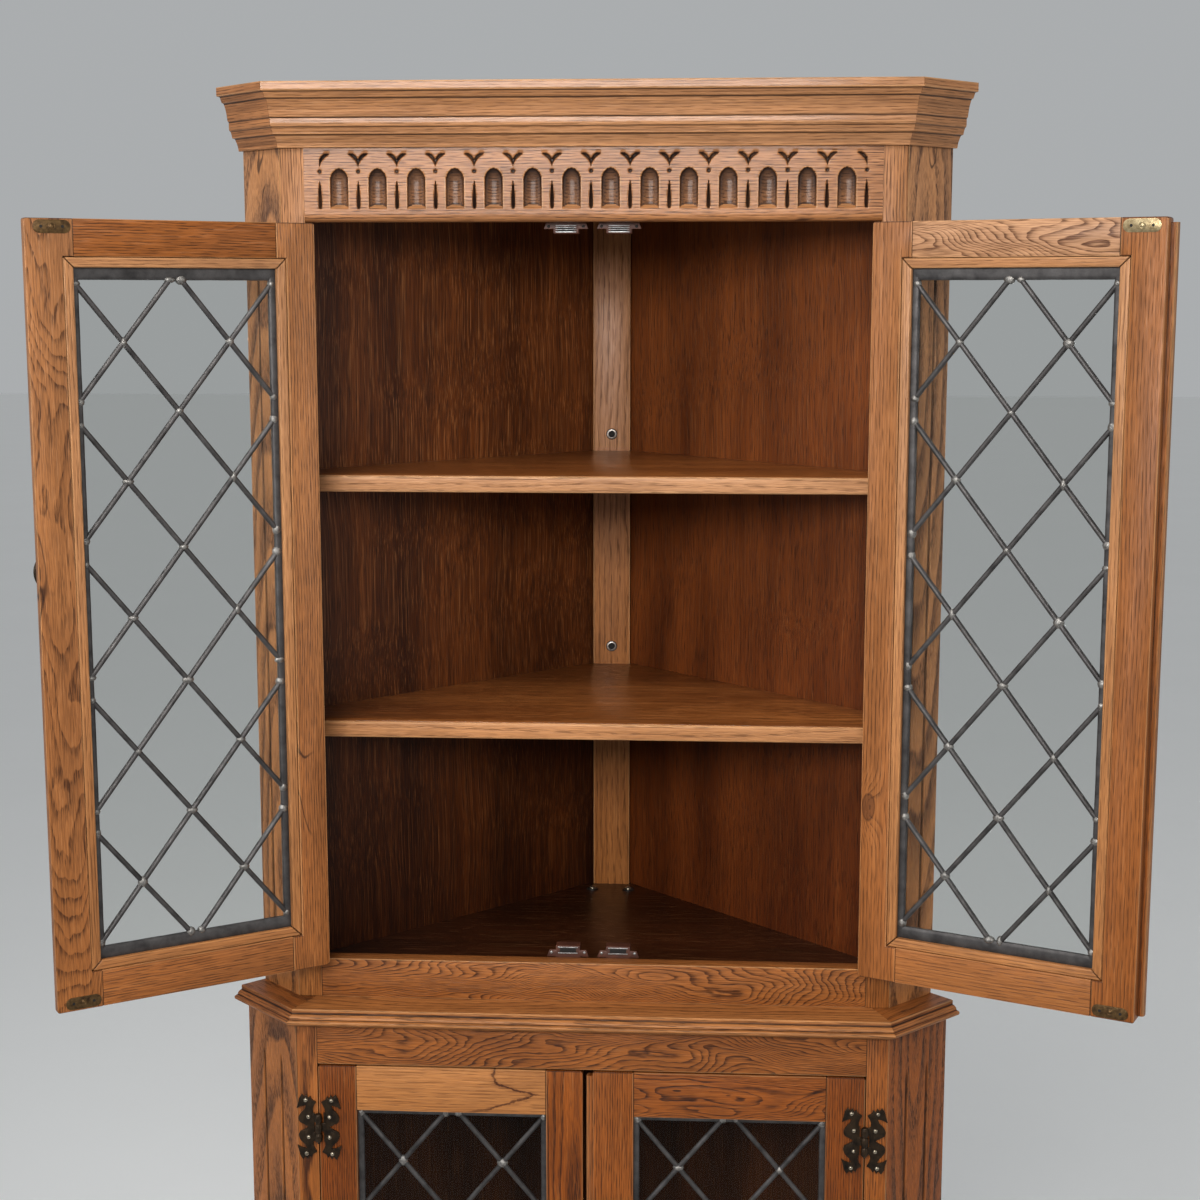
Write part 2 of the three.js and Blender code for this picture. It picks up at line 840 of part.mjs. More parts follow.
function addDoor(name, sizes) {
  const { side, front, foot, height, width, lip, tongue, open } = sizes;
  const group = new THREE.Group();
  group.position.set(-side * pinHalf, front - axisOut, foot);
  group.rotation.z = -side * THREE.MathUtils.degToRad(open);
  root.add(group);

  const faceY = axisOut;
  const backY = axisOut + doorThick;
  const sightLeft = hingeStile;
  const sightRight = hingeStile + sightWidth;
  const sightFoot = sizes.footRail;
  const sightTop = height - sizes.headRail;
  const middleX = side * (sightLeft + sightRight) / 2;
  const middleZ = (sightFoot + sightTop) / 2;
  const halfWide = sightWidth / 2;
  const halfHigh = (sightTop - sightFoot) / 2;
  const around = (x, z) => rectangle(middleX - x, middleX + x, middleZ - z, middleZ + z);

  // Frame: stiles and rails with the groove that holds the leaded light
  const bodies = [slab(roundedRectangle(0, width, 0, height, side), faceY, backY)];
  if (lip > 0) {
    const strip = [[width - overrun, doorCorner], [width + lip, doorCorner],
      [width + lip, height - doorCorner], [width - overrun, height - doorCorner]];
    bodies.push(slab(strip.map(([x, z]) => [side * x, z]), faceY, faceY + meetingLipThick));
  }
  if (tongue > 0) {
    const strip = [[width - overrun, doorCorner], [width + tongue, doorCorner],
      [width + tongue, height - doorCorner], [width - overrun, height - doorCorner]];
    bodies.push(slab(strip.map(([x, z]) => [side * x, z]), backY - tongueThick, backY));
  }
  const sight = slab(around(halfWide, halfHigh), faceY - overrun, backY + overrun);
  const bed = cameBed + seam;
  const groove = slab(around(halfWide + bed, halfHigh + bed), leadFront - seam, leadBack + seam);
  add(`${name}_frame`, cut(joined(...bodies), sight, groove), front > 0 ? oak : oakDark, group);

  // Lead cames: a lattice on each side of the glass, joined round its edge
  const inner = around(halfWide + cameBed - cameBack, halfHigh + cameBed - cameBack);
  const across = sightWidth * latticeAcrossShare;
  const up = (sightTop - sightFoot) * sizes.upShare;
  const apexRow = Math.round(halfHigh / up);
  const cells = panes(halfWide - borderSide, halfHigh - sizes.borderEnd, across, up, apexRow)
    .map((cell) => cell.map(([x, z]) => [middleX + x, middleZ + z]))
    .map((cell) => slab(cell, leadFront - overrun, leadBack + overrun));
  add(`${name}_leads`, cut(
    slab(around(halfWide + cameBed, halfHigh + cameBed), leadFront, leadBack),
    slab(inner, leadFront + cameLeaf, leadBack - cameLeaf),
    ...cells,
  ), lead, group);

  const glassEdge = cameBed - cameBack - glassPlay;
  const glassFront = leadFront + cameLeaf + glassPlay;
  add(`${name}_glass`, slab(
    around(halfWide + glassEdge, halfHigh + glassEdge),
    glassFront,
    glassFront + glassThick,
  ), glassClear, group);

  // Hinges: the door leaf moves with the door, the frame leaf stays on the case
  for (const [place, z] of [["low", hingeFromEnd], ["high", height - hingeFromEnd]]) {
    const moving = add(`${name}_hinge_${place}_leaf`, doorLeaf(side), bronze, group);
    moving.position.z = z;
    const fixed = add(`${name}_hinge_${place}_jamb`, frameLeaf(-side), bronze);
    fixed.position.set(group.position.x, group.position.y, foot + z);
  }

  // Ring pull on the meeting stile
  const pullX = side * (sightRight + pullFromSight);
  const pullZ = height / 2 + pullAboveMiddle;
  const pullY = faceY - seam - pivotReach;
  const plate = add(`${name}_pull_plate`, pullPlate(), bronze, group);
  plate.position.set(pullX, pullY, pullZ);
  const ring = add(`${name}_pull_ring`, pullRing(), bronze, group);
  ring.position.set(pullX, pullY, pullZ);
}

const upperDoor = {
  front: upperSetback,
  foot: upperDoorFoot,
  height: upperDoorHeight,
  footRail: upperFootRail,
  headRail: upperHeadRail,
  borderEnd: upperBorderEnd,
  upShare: upperLatticeUpShare,
};
const lowerDoor = {
  front: 0,
  foot: lowerDoorFoot,
  height: lowerDoorHeight,
  footRail: lowerFootRail,
  headRail: lowerHeadRail,
  borderEnd: lowerBorderEnd,
  upShare: lowerLatticeUpShare,
  open: 0,
};
const leftDoor = { side: 1, width: leftDoorWidth, lip: 0 };
const rightDoor = { side: -1, width: rightDoorWidth, lip: meetingLip, tongue: 0 };
addDoor("upper_left_door", { ...upperDoor, ...leftDoor, tongue: meetingTongue, open: leftOpenDegrees });
addDoor("upper_right_door", { ...upperDoor, ...rightDoor, open: rightOpenDegrees });
addDoor("lower_left_door", { ...lowerDoor, ...leftDoor, tongue: 0 });
addDoor("lower_right_door", { ...lowerDoor, ...rightDoor });

export default root;
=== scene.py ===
import math
from math import cos, pi, radians, sin

import bmesh
import bpy
import numpy as np
from mathutils import Matrix, Vector


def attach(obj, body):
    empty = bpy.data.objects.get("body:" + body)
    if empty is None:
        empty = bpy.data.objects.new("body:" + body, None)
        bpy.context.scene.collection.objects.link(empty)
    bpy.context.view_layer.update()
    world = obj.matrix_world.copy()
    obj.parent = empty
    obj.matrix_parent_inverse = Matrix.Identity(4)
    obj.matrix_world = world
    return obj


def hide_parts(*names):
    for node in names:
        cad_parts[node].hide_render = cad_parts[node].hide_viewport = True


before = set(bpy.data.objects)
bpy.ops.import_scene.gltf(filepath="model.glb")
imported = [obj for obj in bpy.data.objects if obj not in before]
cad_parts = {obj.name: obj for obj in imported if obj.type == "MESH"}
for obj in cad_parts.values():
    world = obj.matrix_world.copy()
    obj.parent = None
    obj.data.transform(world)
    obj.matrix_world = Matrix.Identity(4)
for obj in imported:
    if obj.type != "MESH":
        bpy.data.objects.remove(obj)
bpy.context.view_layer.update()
print("frame loaded:", len(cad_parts), "nodes")

# Sizes are in millimetres, as a maker would write them, and turn into metres as each mesh is made.
mm = 0.001
toMetres = Matrix.Scale(mm, 4)
root2 = math.sqrt(2)
xAxis, yAxis, zAxis = Vector((1, 0, 0)), Vector((0, 1, 0)), Vector((0, 0, 1))
asIs = Matrix.Identity(4)


def link(name, data):
    made = bpy.data.objects.new(name, data)
    bpy.context.scene.collection.objects.link(made)
    return made


def at(x, y, z, turn=0, axis="X"):
    return Matrix.Translation((x, y, z)) @ Matrix.Rotation(radians(turn), 4, axis)


# Camera and lamps
view = {"place": (0.1377, -2.0438, 1.6019), "turn": 3.533, "down": 8.7926, "lens": 59.07}
camera = bpy.data.cameras.new("camera")
camera.lens = view["lens"]
camera.sensor_width = 36
camera.clip_end = 100
cameraObject = link("camera", camera)
cameraObject.location = view["place"]
cameraObject.rotation_euler = (radians(90 - view["down"]), 0, radians(view["turn"]))
bpy.context.scene.camera = cameraObject
bpy.context.scene.view_settings.view_transform = "Standard"

# Place, aim, size, power, fan in degrees, tint
lamps = {
    "key": ((-0.34, -2.45, 2.08), (0.0, 0.1, 1.42), (1.5, 0.6), 11, 75, (1, 0.985, 0.97)),
    "above": ((-0.6, -1.5, 3.2), (0.0, 0.2, 1.35), (1.6, 0.8), 7.5, 80, (1, 0.98, 0.95)),
    "left": ((-2.6, -1.6, 1.9), (0.1, 0.1, 1.2), (1.6, 2.0), 10, 120, (0.94, 0.97, 1)),
    "right": ((2.6, -1.2, 1.6), (0.0, 0.1, 1.2), (1.2, 1.8), 5, 120, (1, 0.98, 0.95)),
}
for name, (place, aim, size, power, fan, tint) in lamps.items():
    light = bpy.data.lights.new(name, "AREA")
    light.shape = "RECTANGLE"
    light.size, light.size_y = size
    light.energy, light.spread, light.color = power, radians(fan), tint
    lamp = link(name, light)
    lamp.location = place
    lamp.rotation_euler = (Vector(aim) - Vector(place)).to_track_quat("-Z", "Y").to_euler()

world = bpy.data.worlds.new("studio")
world.use_nodes = True
sky = world.node_tree.nodes["Background"].inputs
sky["Color"].default_value = (0.9, 0.93, 0.95, 1)
sky["Strength"].default_value = 0.45
bpy.context.scene.world = world


def colour(*levels):
    parts = [c / 255 for c in levels]
    return tuple(c / 12.92 if c <= 0.04045 else ((c + 0.055) / 1.055) ** 2.4 for c in parts) + (1,)


# A value that flows through a node tree. Arithmetic with it adds the nodes for that, vector ones where a vector
# or a tuple takes part.
class Flow:
    def __init__(self, socket):
        self.socket = socket

    def __add__(self, other):
        return reckon("ADD", self, other)

    def __sub__(self, other):
        return reckon("SUBTRACT", self, other)

    def __rsub__(self, other):
        return reckon("SUBTRACT", other, self)

    def __mul__(self, other):
        return reckon("MULTIPLY", self, other)

    def __truediv__(self, other):
        return reckon("DIVIDE", self, other)

    def __pow__(self, other):
        return reckon("POWER", self, other)

    def __abs__(self):
        return reckon("ABSOLUTE", self)

    __radd__ = __add__


def treeOf(*values):
    return next(v for v in values if isinstance(v, Flow)).socket.id_data


def feed(value, socket):
    if isinstance(value, Flow):
        socket.id_data.links.new(value.socket, socket)
    elif socket.type == "VECTOR" and not isinstance(value, tuple):
        socket.default_value = (value,) * 3
    else:
        socket.default_value = value


def addNode(tree, kind, settings=None, *ordered, **named):
    node = tree.nodes.new(kind)
    for key, value in (settings or {}).items():
        setattr(node, key, value)
    for value, socket in zip(ordered, node.inputs):
        feed(value, socket)
    for key, value in named.items():
        feed(value, next(s for s in node.inputs if s.name == key.replace("_", " ") and s.enabled))
    return node


def result(node):
    return Flow(next(s for s in node.outputs if s.enabled))


def reckon(operation, *values):
    vector = any(v.socket.type == "VECTOR" if isinstance(v, Flow) else isinstance(v, tuple) for v in values)
    kind = "ShaderNodeVectorMath" if vector else "ShaderNodeMath"
    return result(addNode(treeOf(*values), kind, {"operation": operation}, *values))


def combine(*parts):
    return result(addNode(treeOf(*parts), "ShaderNodeCombineXYZ", None, *parts))


def partsOf(vector):
    return [Flow(s) for s in addNode(treeOf(vector), "ShaderNodeSeparateXYZ", None, vector).outputs]


def remap(value, low, high, toLow=0.0, toHigh=1.0):
    return result(addNode(treeOf(value), "ShaderNodeMapRange", {"clamp": True}, value, low, high, toLow, toHigh))


def noise(place, stretch, detail=2, roughness=0.5, output="Fac"):
    node = addNode(treeOf(place), "ShaderNodeTexNoise", Vector=place * stretch, Scale=1, Detail=detail,
                   Roughness=roughness)
    return Flow(node.outputs[output])


def drift(place, stretch, detail, roughness):
    return noise(place, stretch, detail, roughness, "Color") - (0.5, 0.5, 0.5)


def ramp(share, *stops):
    node = addNode(treeOf(share), "ShaderNodeValToRGB", None, share)
    elements = node.color_ramp.elements
    while len(elements) < len(stops):
        elements.new(1)
    for element, (place, shade) in zip(elements, stops):
        element.position = place
        element.color = shade if isinstance(shade, tuple) else (shade, shade, shade, 1)
    return Flow(node.outputs["Color"])


def blend(share, first, second, how="MIX"):
    node = addNode(treeOf(share, first, second), "ShaderNodeMix", {"data_type": "RGBA", "blend_type": how})
    for value, index in ((share, 0), (first, 6), (second, 7)):
        feed(value, node.inputs[index])
    return Flow(node.outputs[2])


def layered(base, *coats):
    for share, shade in coats:
        base = blend(share, base, shade)
    return base


def between(first, second):
    return tuple((a + b) / 2 for a, b in zip(first, second))


def attribute(tree, name, output="Fac"):
    return Flow(addNode(tree, "ShaderNodeAttribute", {"attribute_name": name}).outputs[output])


def objectPlace(tree):
    return Flow(tree.nodes.new("ShaderNodeTexCoord").outputs["Object"])


def bump(height, distance, strength):
    return result(addNode(treeOf(height), "ShaderNodeBump", Height=height, Distance=distance, Strength=strength))


def newMaterial(name, **constants):
    material = bpy.data.materials.new(name)
    material.use_nodes = True
    shader = material.node_tree.nodes["Principled BSDF"]
    for key, value in constants.items():
        shader.inputs[key.replace("_", " ")].default_value = value
    return material, material.node_tree, shader


def dress(shader, tint, rough, height, distance, strength):
    for key, value in (("Base Color", tint), ("Roughness", rough), ("Normal", bump(height, distance, strength))):
        feed(value, shader.inputs[key])


# A dark forked streak in millimetres from a board's middle: one arm curls down from the top edge, the other
# rises towards it from the foot
def forkedStreak(grain, middle):
    place = (grain - middle) * (1000, 1000, 0) + drift(grain, (110, 160, 0), 3, 0.6) * (12, 6, 0)
    run, rise, _ = partsOf(place)
    drop = reckon("MAXIMUM", 12 - rise, 0)
    offCurl = abs(run - (drop * drop * 0.147 + 48)) / (drop * 0.3 + 2.2)
    upper = remap(offCurl, 0.3, 0.9, 0.75, 0) + remap(offCurl, 0.5, 3, 0.25, 0)
    slope = reckon("MAXIMUM", run - 3, 0) ** 1.42 * 0.042 - 30.6
    lower = remap(abs(rise - slope), 0.4, 1.8, 1, 0) * remap(run, 95, 90) * remap(run, 5, 50)
    return reckon("MAXIMUM", upper * remap(rise, -7.5, -5.5), lower)


# Oak: every board carries its own grain axes and place in the log in "grain", and how pale the board is in "tone".
# One more attribute holds arris wear, with a painted highlight on mouldings (above 0), or glaze, with painted shade
# in creases and cuts (below 0)
def oakFinish(name, ringWidth, ringDepth, wild, sweep=1.8, roughness=0.34, poreDepth=0.8, grey=0.0, coat=0.06,
              coatRoughness=0.2, band=1.0, split=0.8, least=0.25, knot=None, fork=None):
    material, tree, shader = newMaterial(name, Coat_Weight=coat, Coat_Roughness=coatRoughness, IOR=1.45,
                                         Specular_IOR_Level=0.24)
    grain, wear, tone = attribute(tree, "grain", "Vector"), attribute(tree, "wear"), attribute(tree, "tone")
    wander, fineWander = 0.03 * wild, 0.0022 * (0.5 + wild)
    shifted = grain + drift(grain, (3.2, 11, 11), 2, 0.45) * (0, wander, wander * sweep)
    shifted = shifted + drift(grain, (22, 90, 90), 2, 0.55) * (0, fineWander, fineWander)
    fromPith = reckon("LENGTH", shifted * (0, 1, 1))
    if knot:
        toKnot = reckon("LENGTH", (shifted - (*knot, 0)) * (0.5, 1, 0))
        fromPith = remap(toKnot, 0.002, 0.024, 1, 0) ** 1.6 * 0.016 + fromPith
    rings = ramp(reckon("FRACT", fromPith / ringWidth), (0, 0.1), (0.06 * band, 1), (0.18 * band, 0.8),
                 (0.36 * band, 0.28), (0.72, 0.05), (1, 0.0))

    fading = noise(grain, (6, 36, 36), 3, 0.55)
    patches = noise(grain, (2.6, 18, 18), 3, 0.55)
    fibre = noise(grain, (16, 640, 640), 3, 0.65)
    pores = remap(noise(grain, (52, 900, 900), 1), 0.47, 0.58) * (rings * 0.75 + 0.25)
    shake = remap(abs(noise(grain, (9, 34, 34), 1, 0.4) - 0.5), 0.004, 0.014, 1, 0) * remap(patches, 0.58, 0.66)
    glazeAndShade = remap(wear, 0, -1) * remap(fading, 0.2, 0.55, 0.82, 1)

    # the palest tones are less saturated, partly a painted sheen on the pale boards high on the cupboard
    body = ramp(tone, (0, colour(100, 46, 11)), (0.35, colour(148, 79, 25)), (0.7, colour(182, 120, 69)),
                (1, colour(216, 165, 118)))
    dark = ramp(tone, (0, colour(30, 12, 3)), (0.35, colour(48, 20, 6)), (0.7, colour(84, 43, 18)),
                (1, colour(130, 78, 42)))
    dark = blend(grey, dark, colour(84, 66, 52))
    body = layered(
        body,
        (remap(patches, 0.34, 0.66, 0, 0.85), body * (0.97, 0.91, 0.8)),
        (remap(fading, 0.4, 0.75, 0, 0.3), dark),
        (rings * remap(fading, 0.34, 0.62, least, 1) * ringDepth, dark),
        (remap(fibre, 0.42, 0.7, 0, 0.34), dark),
        (remap(fibre, 0.44, 0.28, 0, 0.08), colour(236, 190, 138)),
        (pores * poreDepth, blend(0.5, dark, colour(30, 12, 4))),
        (shake * split, colour(40, 18, 7)))
    if knot:
        body = layered(body, (remap(toKnot, 0.0055, 0.0085, 0.62, 0), colour(84, 46, 24)),
                       (remap(abs(toKnot - 0.007), 0, 0.0012, 0.6, 0), colour(52, 24, 10)))
    if fork:
        body = blend(forkedStreak(grain, fork) * remap(fading, 0.3, 0.55, 0.55, 0.95), body, colour(62, 26, 10))
    # painted sheen: the colour is greyed towards the cupboard's head in place of the veil of reflected light there, and
    # kept redder towards its foot where less light reflects
    height = partsOf(objectPlace(tree))[2]
    body = blend(1.0, body, blend(remap(height, 0.6, 1.45), (1.0, 0.92, 0.7, 1), (0.93, 1.09, 1.45, 1)), "MULTIPLY")
    # pale arrises are wear, with a painted highlight on mouldings; the dark layer is glaze with painted shade in
    # creases and cuts
    body = layered(body, (remap(wear, 0, 1) * remap(patches, 0.3, 0.6, 0.084, 0.336), colour(228, 180, 126)),
                   (glazeAndShade, colour(30, 13, 5)))
    dress(shader, body, pores * 0.25 + fibre * 0.12 + glazeAndShade * 0.1 + roughness,
          fading * 1.2 + fibre * 0.35 - pores * 0.9 - rings * 0.3, 0.0005, 0.7)
    return material


# Veneered board inside: thin straight figure on Object coordinates, grain along z or x
def veneer(name, pale, deep, upright, roughness=0.34, figured=0.5, coat=0.03, foot=(1, 1, 1, 1), head=(1, 1, 1, 1)):
    material, tree, shader = newMaterial(name, Coat_Weight=coat, Coat_Roughness=0.2, Specular_IOR_Level=0.22)
    pale, deep = colour(*pale), colour(*deep)
    place = objectPlace(tree)
    height = partsOf(place)[2]
    place = place + drift(place, 3, 2, 0.5) * 0.03

    def figure(along, across, detail, fine=0.5):
        return noise(place, (across, across, along) if upright else (along, across, across), detail, fine)

    bands, threads = figure(4, 130, 3, 0.6), figure(6, 820, 3, 0.7)
    pores = remap(figure(34, 1000, 1), 0.54, 0.64)
    tint = layered(
        blend(remap(figure(2, 16, 3, 0.55), 0.3, 0.7), pale, deep),
        (remap(bands, 0.4, 0.68, 0, figured * 0.75), deep),
        (remap(threads, 0.45, 0.7, 0, figured), between(deep, colour(20, 8, 3))),
        (remap(threads, 0.46, 0.3, 0, figured * 0.7), between(pale, colour(196, 138, 88))),
        (pores * 0.55, colour(22, 9, 4)))
    # painted shade and light: the colour is multiplied by the foot tint low down and the head tint high up, darkening
    # the lower compartments and lightening or greying the top
    tint = blend(1.0, tint, blend(remap(height, 0.85, 1.45), foot, head), "MULTIPLY")
    dress(shader, tint, threads * 0.2 + roughness, bands * 0.8 + threads * 0.5 - pores * 0.7, 0.0004, 0.5)
    return material


# Metals, lead and the small plastic: mottled colour, rubbed high spots, hammer and casting marks
def metalFinish(name, low, high, mottle, roughness, metallic, marks=0.0002):
    material, tree, shader = newMaterial(name, Metallic=metallic)
    low, high = colour(*low), colour(*high)
    place = objectPlace(tree)
    cloud, grit = noise(place, mottle, 4, 0.6), noise(place, mottle * 9, 2, 0.6)
    tint = layered(
        blend(remap(cloud, 0.25, 0.75), low, high),
        (remap(grit, 0.5, 0.75, 0, 0.225), low),
        (attribute(tree, "wear") * remap(cloud, 0.35, 0.6, 0.14, 0.56), high))
    dress(shader, tint, remap(grit, 0.2, 0.8, roughness - 0.08, roughness + 0.14), grit * 0.5 + cloud, marks, 0.6)
    return material


# Clear quarry: it lets lamp light through, and old glass is a little wavy
def quarryGlass():
    material, tree, shader = newMaterial("quarryGlass", Roughness=0, Transmission_Weight=1, IOR=1.15,
                                         Base_Color=(0.79, 0.805, 0.79, 1))
    feed(bump(noise(objectPlace(tree), 26), 0.001, 0.1), shader.inputs["Normal"])
    clear = addNode(tree, "ShaderNodeBsdfTransparent", None, (0.92, 0.93, 0.92, 1))
    shadow = Flow(tree.nodes.new("ShaderNodeLightPath").outputs["Is Shadow Ray"])
    mix = addNode(tree, "ShaderNodeMixShader", None, shadow, result(shader), result(clear))
    feed(result(mix), tree.nodes["Material Output"].inputs["Surface"])
    return material


oak = oakFinish("oakStraight", 0.0027, 0.62, 0.5)
oakWild = oakFinish("oakWild", 0.0014, 0.96, 0.62, sweep=5.0, least=0.5)
oakSoft = oakFinish("oakSoft", 0.002, 0.55, 0.5, sweep=3.0, least=0.1)
oakLined = oakFinish("oakLined", 0.0048, 0.95, 0.4, band=1.3)
oakBold = oakFinish("oakBold", 0.0115, 0.85, 0.6, grey=0.3, band=1.5)
oakCalm = oakFinish("oakCalm", 0.0034, 0.24, 0.3, poreDepth=0.6, split=0.0)
oakPale = oakFinish("oakPale", 0.003, 0.45, 0.35, poreDepth=0.92, coat=0.2, coatRoughness=0.16, split=0.0)
oakMoulded = oakFinish("oakMoulded", 0.003, 0.3, 0.35, roughness=0.32, poreDepth=0.55, coat=0.25,
                       coatRoughness=0.12, split=0.0)
# the side panels take painted shade towards the foot and painted light and sheen towards the head
panelLeft = veneer("veneerLeft", (106, 56, 23), (50, 21, 6), True, figured=0.7, foot=(0.5, 0.4, 0.3, 1),
                   head=(1.36, 1.34, 1.24, 1))
panelRight = veneer("veneerRight", (124, 60, 23), (76, 31, 8), True, figured=0.3, foot=(0.72, 0.68, 0.56, 1),
                    head=(1.04, 1.22, 1.3, 1))
# a darker copy of the panel veneer for the lower case: painted shade for its dim inside
shadedCellarVeneer = veneer("veneerCellarShaded", (84, 42, 17), (46, 21, 8), True)
shelfVeneer = veneer("veneerShelf", (160, 96, 46), (104, 54, 21), False, 0.2, 0.95, coat=0.3)
floorVeneer = veneer("veneerFloor", (58, 26, 11), (34, 14, 5), False, 0.2, 0.45, coat=0.3)
# Darkest and lightest tone, fineness of the mottling, roughness, metallic, and depth of the marks
metals = {
    "lead": ((38, 36, 36), (86, 83, 82), 60, 0.46, 0.6),
    "solder": ((70, 67, 64), (158, 155, 150), 300, 0.34, 0.8, 0.0007),
    "blackBronze": ((8, 5, 3), (62, 46, 29), 130, 0.32, 0.7, 0.001),
    "hingePin": ((70, 60, 48), (176, 164, 144), 200, 0.2, 0.9),
    "brassDark": ((46, 30, 18), (120, 92, 56), 200, 0.34, 0.8, 0.0006),
    "brassPlate": ((92, 74, 48), (186, 168, 130), 120, 0.3, 0.9),
    "catchSteel": ((112, 111, 110), (188, 187, 185), 240, 0.36, 0.75),
    "catchPlastic": ((50, 22, 12), (84, 44, 27), 90, 0.5, 0.0),
    "eyeletNickel": ((150, 142, 135), (228, 219, 210), 200, 0.28, 0.85),
    "boltIron": ((26, 24, 23), (92, 88, 84), 150, 0.34, 0.8),
    # near-black for holes, slots and the shaded screws: painted shade
    "paintedShade": ((8, 6, 5), (20, 15, 12), 90, 0.8, 0.0),
}
(leadMetal, solderMetal, bronzeMetal, studMetal, darkBrass, brassMetal, steelMetal, catchPlastic, eyeletMetal,
 blackIron, paintedShade) = (metalFinish(name, *values) for name, values in metals.items())
glass = quarryGlass()
print("finishes made")


# Mesh helpers. A piece grows in one bmesh, board by board, and each board is a closed body of its own.
def woodLayers(body):
    body.loops.layers.float_vector.new("grain")
    body.loops.layers.float.new("wear")
    body.loops.layers.float.new("tone")
    return body


def newBody():
    return woodLayers(bmesh.new())


def pour(target, body, place):
    body.transform(place)
    bmesh.ops.recalc_face_normals(body, faces=body.faces)
    scratch = bpy.data.meshes.new("scratch")
    body.to_mesh(scratch)
    body.free()
    target.from_mesh(scratch)
    bpy.data.meshes.remove(scratch)


# Where a board lay in its log: straight-grained, wild, or leaning by the given slope
def pithOf(seed, straight):
    rng = np.random.default_rng(seed)
    along = rng.uniform(0.5, 9)
    side = rng.choice((-1, 1))
    if straight is True:
        return (along, side * rng.uniform(0.09, 0.14), rng.uniform(0.02, 0.07)), 0.0
    if straight is False:
        return (along, side * rng.uniform(0.012, 0.026), rng.uniform(0.07, 0.1)), side * rng.uniform(0.02, 0.045)
    return (along, side * rng.uniform(0.004, 0.016), rng.uniform(0.035, 0.05)), side * straight


def pourBoard(target, body, place, axes, seed, tone, straight, slot=0):
    grainLayer = body.loops.layers.float_vector["grain"]
    toneLayer = body.loops.layers.float["tone"]
    middle = sum((v.co for v in body.verts), Vector()) / len(body.verts)
    offset, tilt = pithOf(seed, straight)
    along, across, deep = axes
    for face in body.faces:
        face.material_index = slot
        for loop in face.loops:
            rel = loop.vert.co - middle
            run = rel.dot(along)
            grain = Vector((run, rel.dot(across), rel.dot(deep) + tilt * run))
            loop[grainLayer] = grain * mm + Vector(offset)
            loop[toneLayer] = tone
    pour(target, body, toMetres @ place)


# Arrises are rounded and worn, but glaze stays in the ones across the grain
def easeEdges(body, size, along, wear, segments=2):
    wearLayer = body.loops.layers.float["wear"]
    sharp = [e for e in body.edges if len(e.link_faces) == 2 and math.degrees(e.calc_face_angle(0)) > 25]
    made = bmesh.ops.bevel(body, geom=sharp, offset=size, offset_type="OFFSET", segments=segments, profile=0.5,
                           affect="EDGES", clamp_overlap=True)
    for face in made["faces"]:
        for loop in face.loops:
            loop[wearLayer] = -0.6 if abs(face.normal.dot(along)) > 0.35 and wear > 0 else wear


# Faces between rows of points that all have the same count, with caps unless the rows close on themselves
def skin(body, points, closed=False):
    rows = [[body.verts.new(p) for p in row] for row in points]
    for low, high in zip(rows, rows[1:] + rows[:1] if closed else rows[1:]):
        for i in range(len(low)):
            j = (i + 1) % len(low)
            body.faces.new((low[i], low[j], high[j], high[i]))
    if not closed:
        body.faces.new(rows[0][::-1])
        body.faces.new(rows[-1])
    return rows


# One board: an outline, pushed through by depth, with eased edges
def board(target, outline, depth, along, seed, tone, straight=True, edge=0.9, place=asIs, slot=0, wear=1.0, segments=2):
    body = newBody()
    push = Vector(depth)
    front = [body.verts.new(p) for p in outline]
    back = [body.verts.new(Vector(p) + push) for p in outline]
    body.faces.new(front)
    body.faces.new(back[::-1])
    for i in range(len(front)):
        j = (i + 1) % len(front)
        body.faces.new((front[j], front[i], back[i], back[j]))
    bmesh.ops.recalc_face_normals(body, faces=body.faces)
    if edge:
        easeEdges(body, edge, along, wear, segments)
    deep = push.normalized() if abs(push.normalized().dot(along)) < 0.5 else along.orthogonal().normalized()
    pourBoard(target, body, place, (along, deep.cross(along), deep), seed, tone, straight, slot)


def upright(x0, x1, y, z0, z1):
    return [(x0, y, z0), (x1, y, z0), (x1, y, z1), (x0, y, z1)]


# A board that shows no wood
def fitting(target, outline, depth, edge, along=xAxis, seed=5, **more):
    board(target, outline, depth, along, seed, 0.5, edge=edge, **more)


# A body through rings of points, each point with its own wear and painted shading
def ringBody(target, rings, wears, axes, seed, tone, straight=True, place=asIs, slot=0, closed=False):
    body = newBody()
    wearLayer = body.loops.layers.float["wear"]
    rows = skin(body, rings, closed)
    value = {vert: amount for row, wear in zip(rows, wears) for vert, amount in zip(row, wear)}
    for face in body.faces:
        for loop in face.loops:
            loop[wearLayer] = value[loop.vert]
    pourBoard(target, body, place, axes, seed, tone, straight, slot)


def plainRings(target, rings, wear, place, slot=0, closed=False):
    ringBody(target, rings, [wear] * len(rings), (zAxis, xAxis, yAxis), 1, 0.5, place=place, slot=slot, closed=closed)


def circle(radius, steps):
    return [(radius * cos(2 * pi * k / steps), radius * sin(2 * pi * k / steps)) for k in range(steps)]


# A turned shape about z: (radius, height) points, closed at both ends
def turned(target, profile, place, slot=0, steps=24, wear=0.3):
    plainRings(target, [[(*p, h) for p in circle(r, steps)] for r, h in profile], [wear] * steps, place, slot)


def finishPiece(name, target, finishes, nodes, body="case", crease=38):
    mesh = bpy.data.meshes.new(name)
    target.to_mesh(mesh)
    target.free()
    mesh.polygons.foreach_set("use_smooth", [True] * len(mesh.polygons))
    mesh.set_sharp_from_angle(angle=radians(crease))
    for finish in finishes:
        mesh.materials.append(finish)
    piece = link(name, mesh)
    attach(piece, body)
    if nodes:
        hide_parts(*nodes)


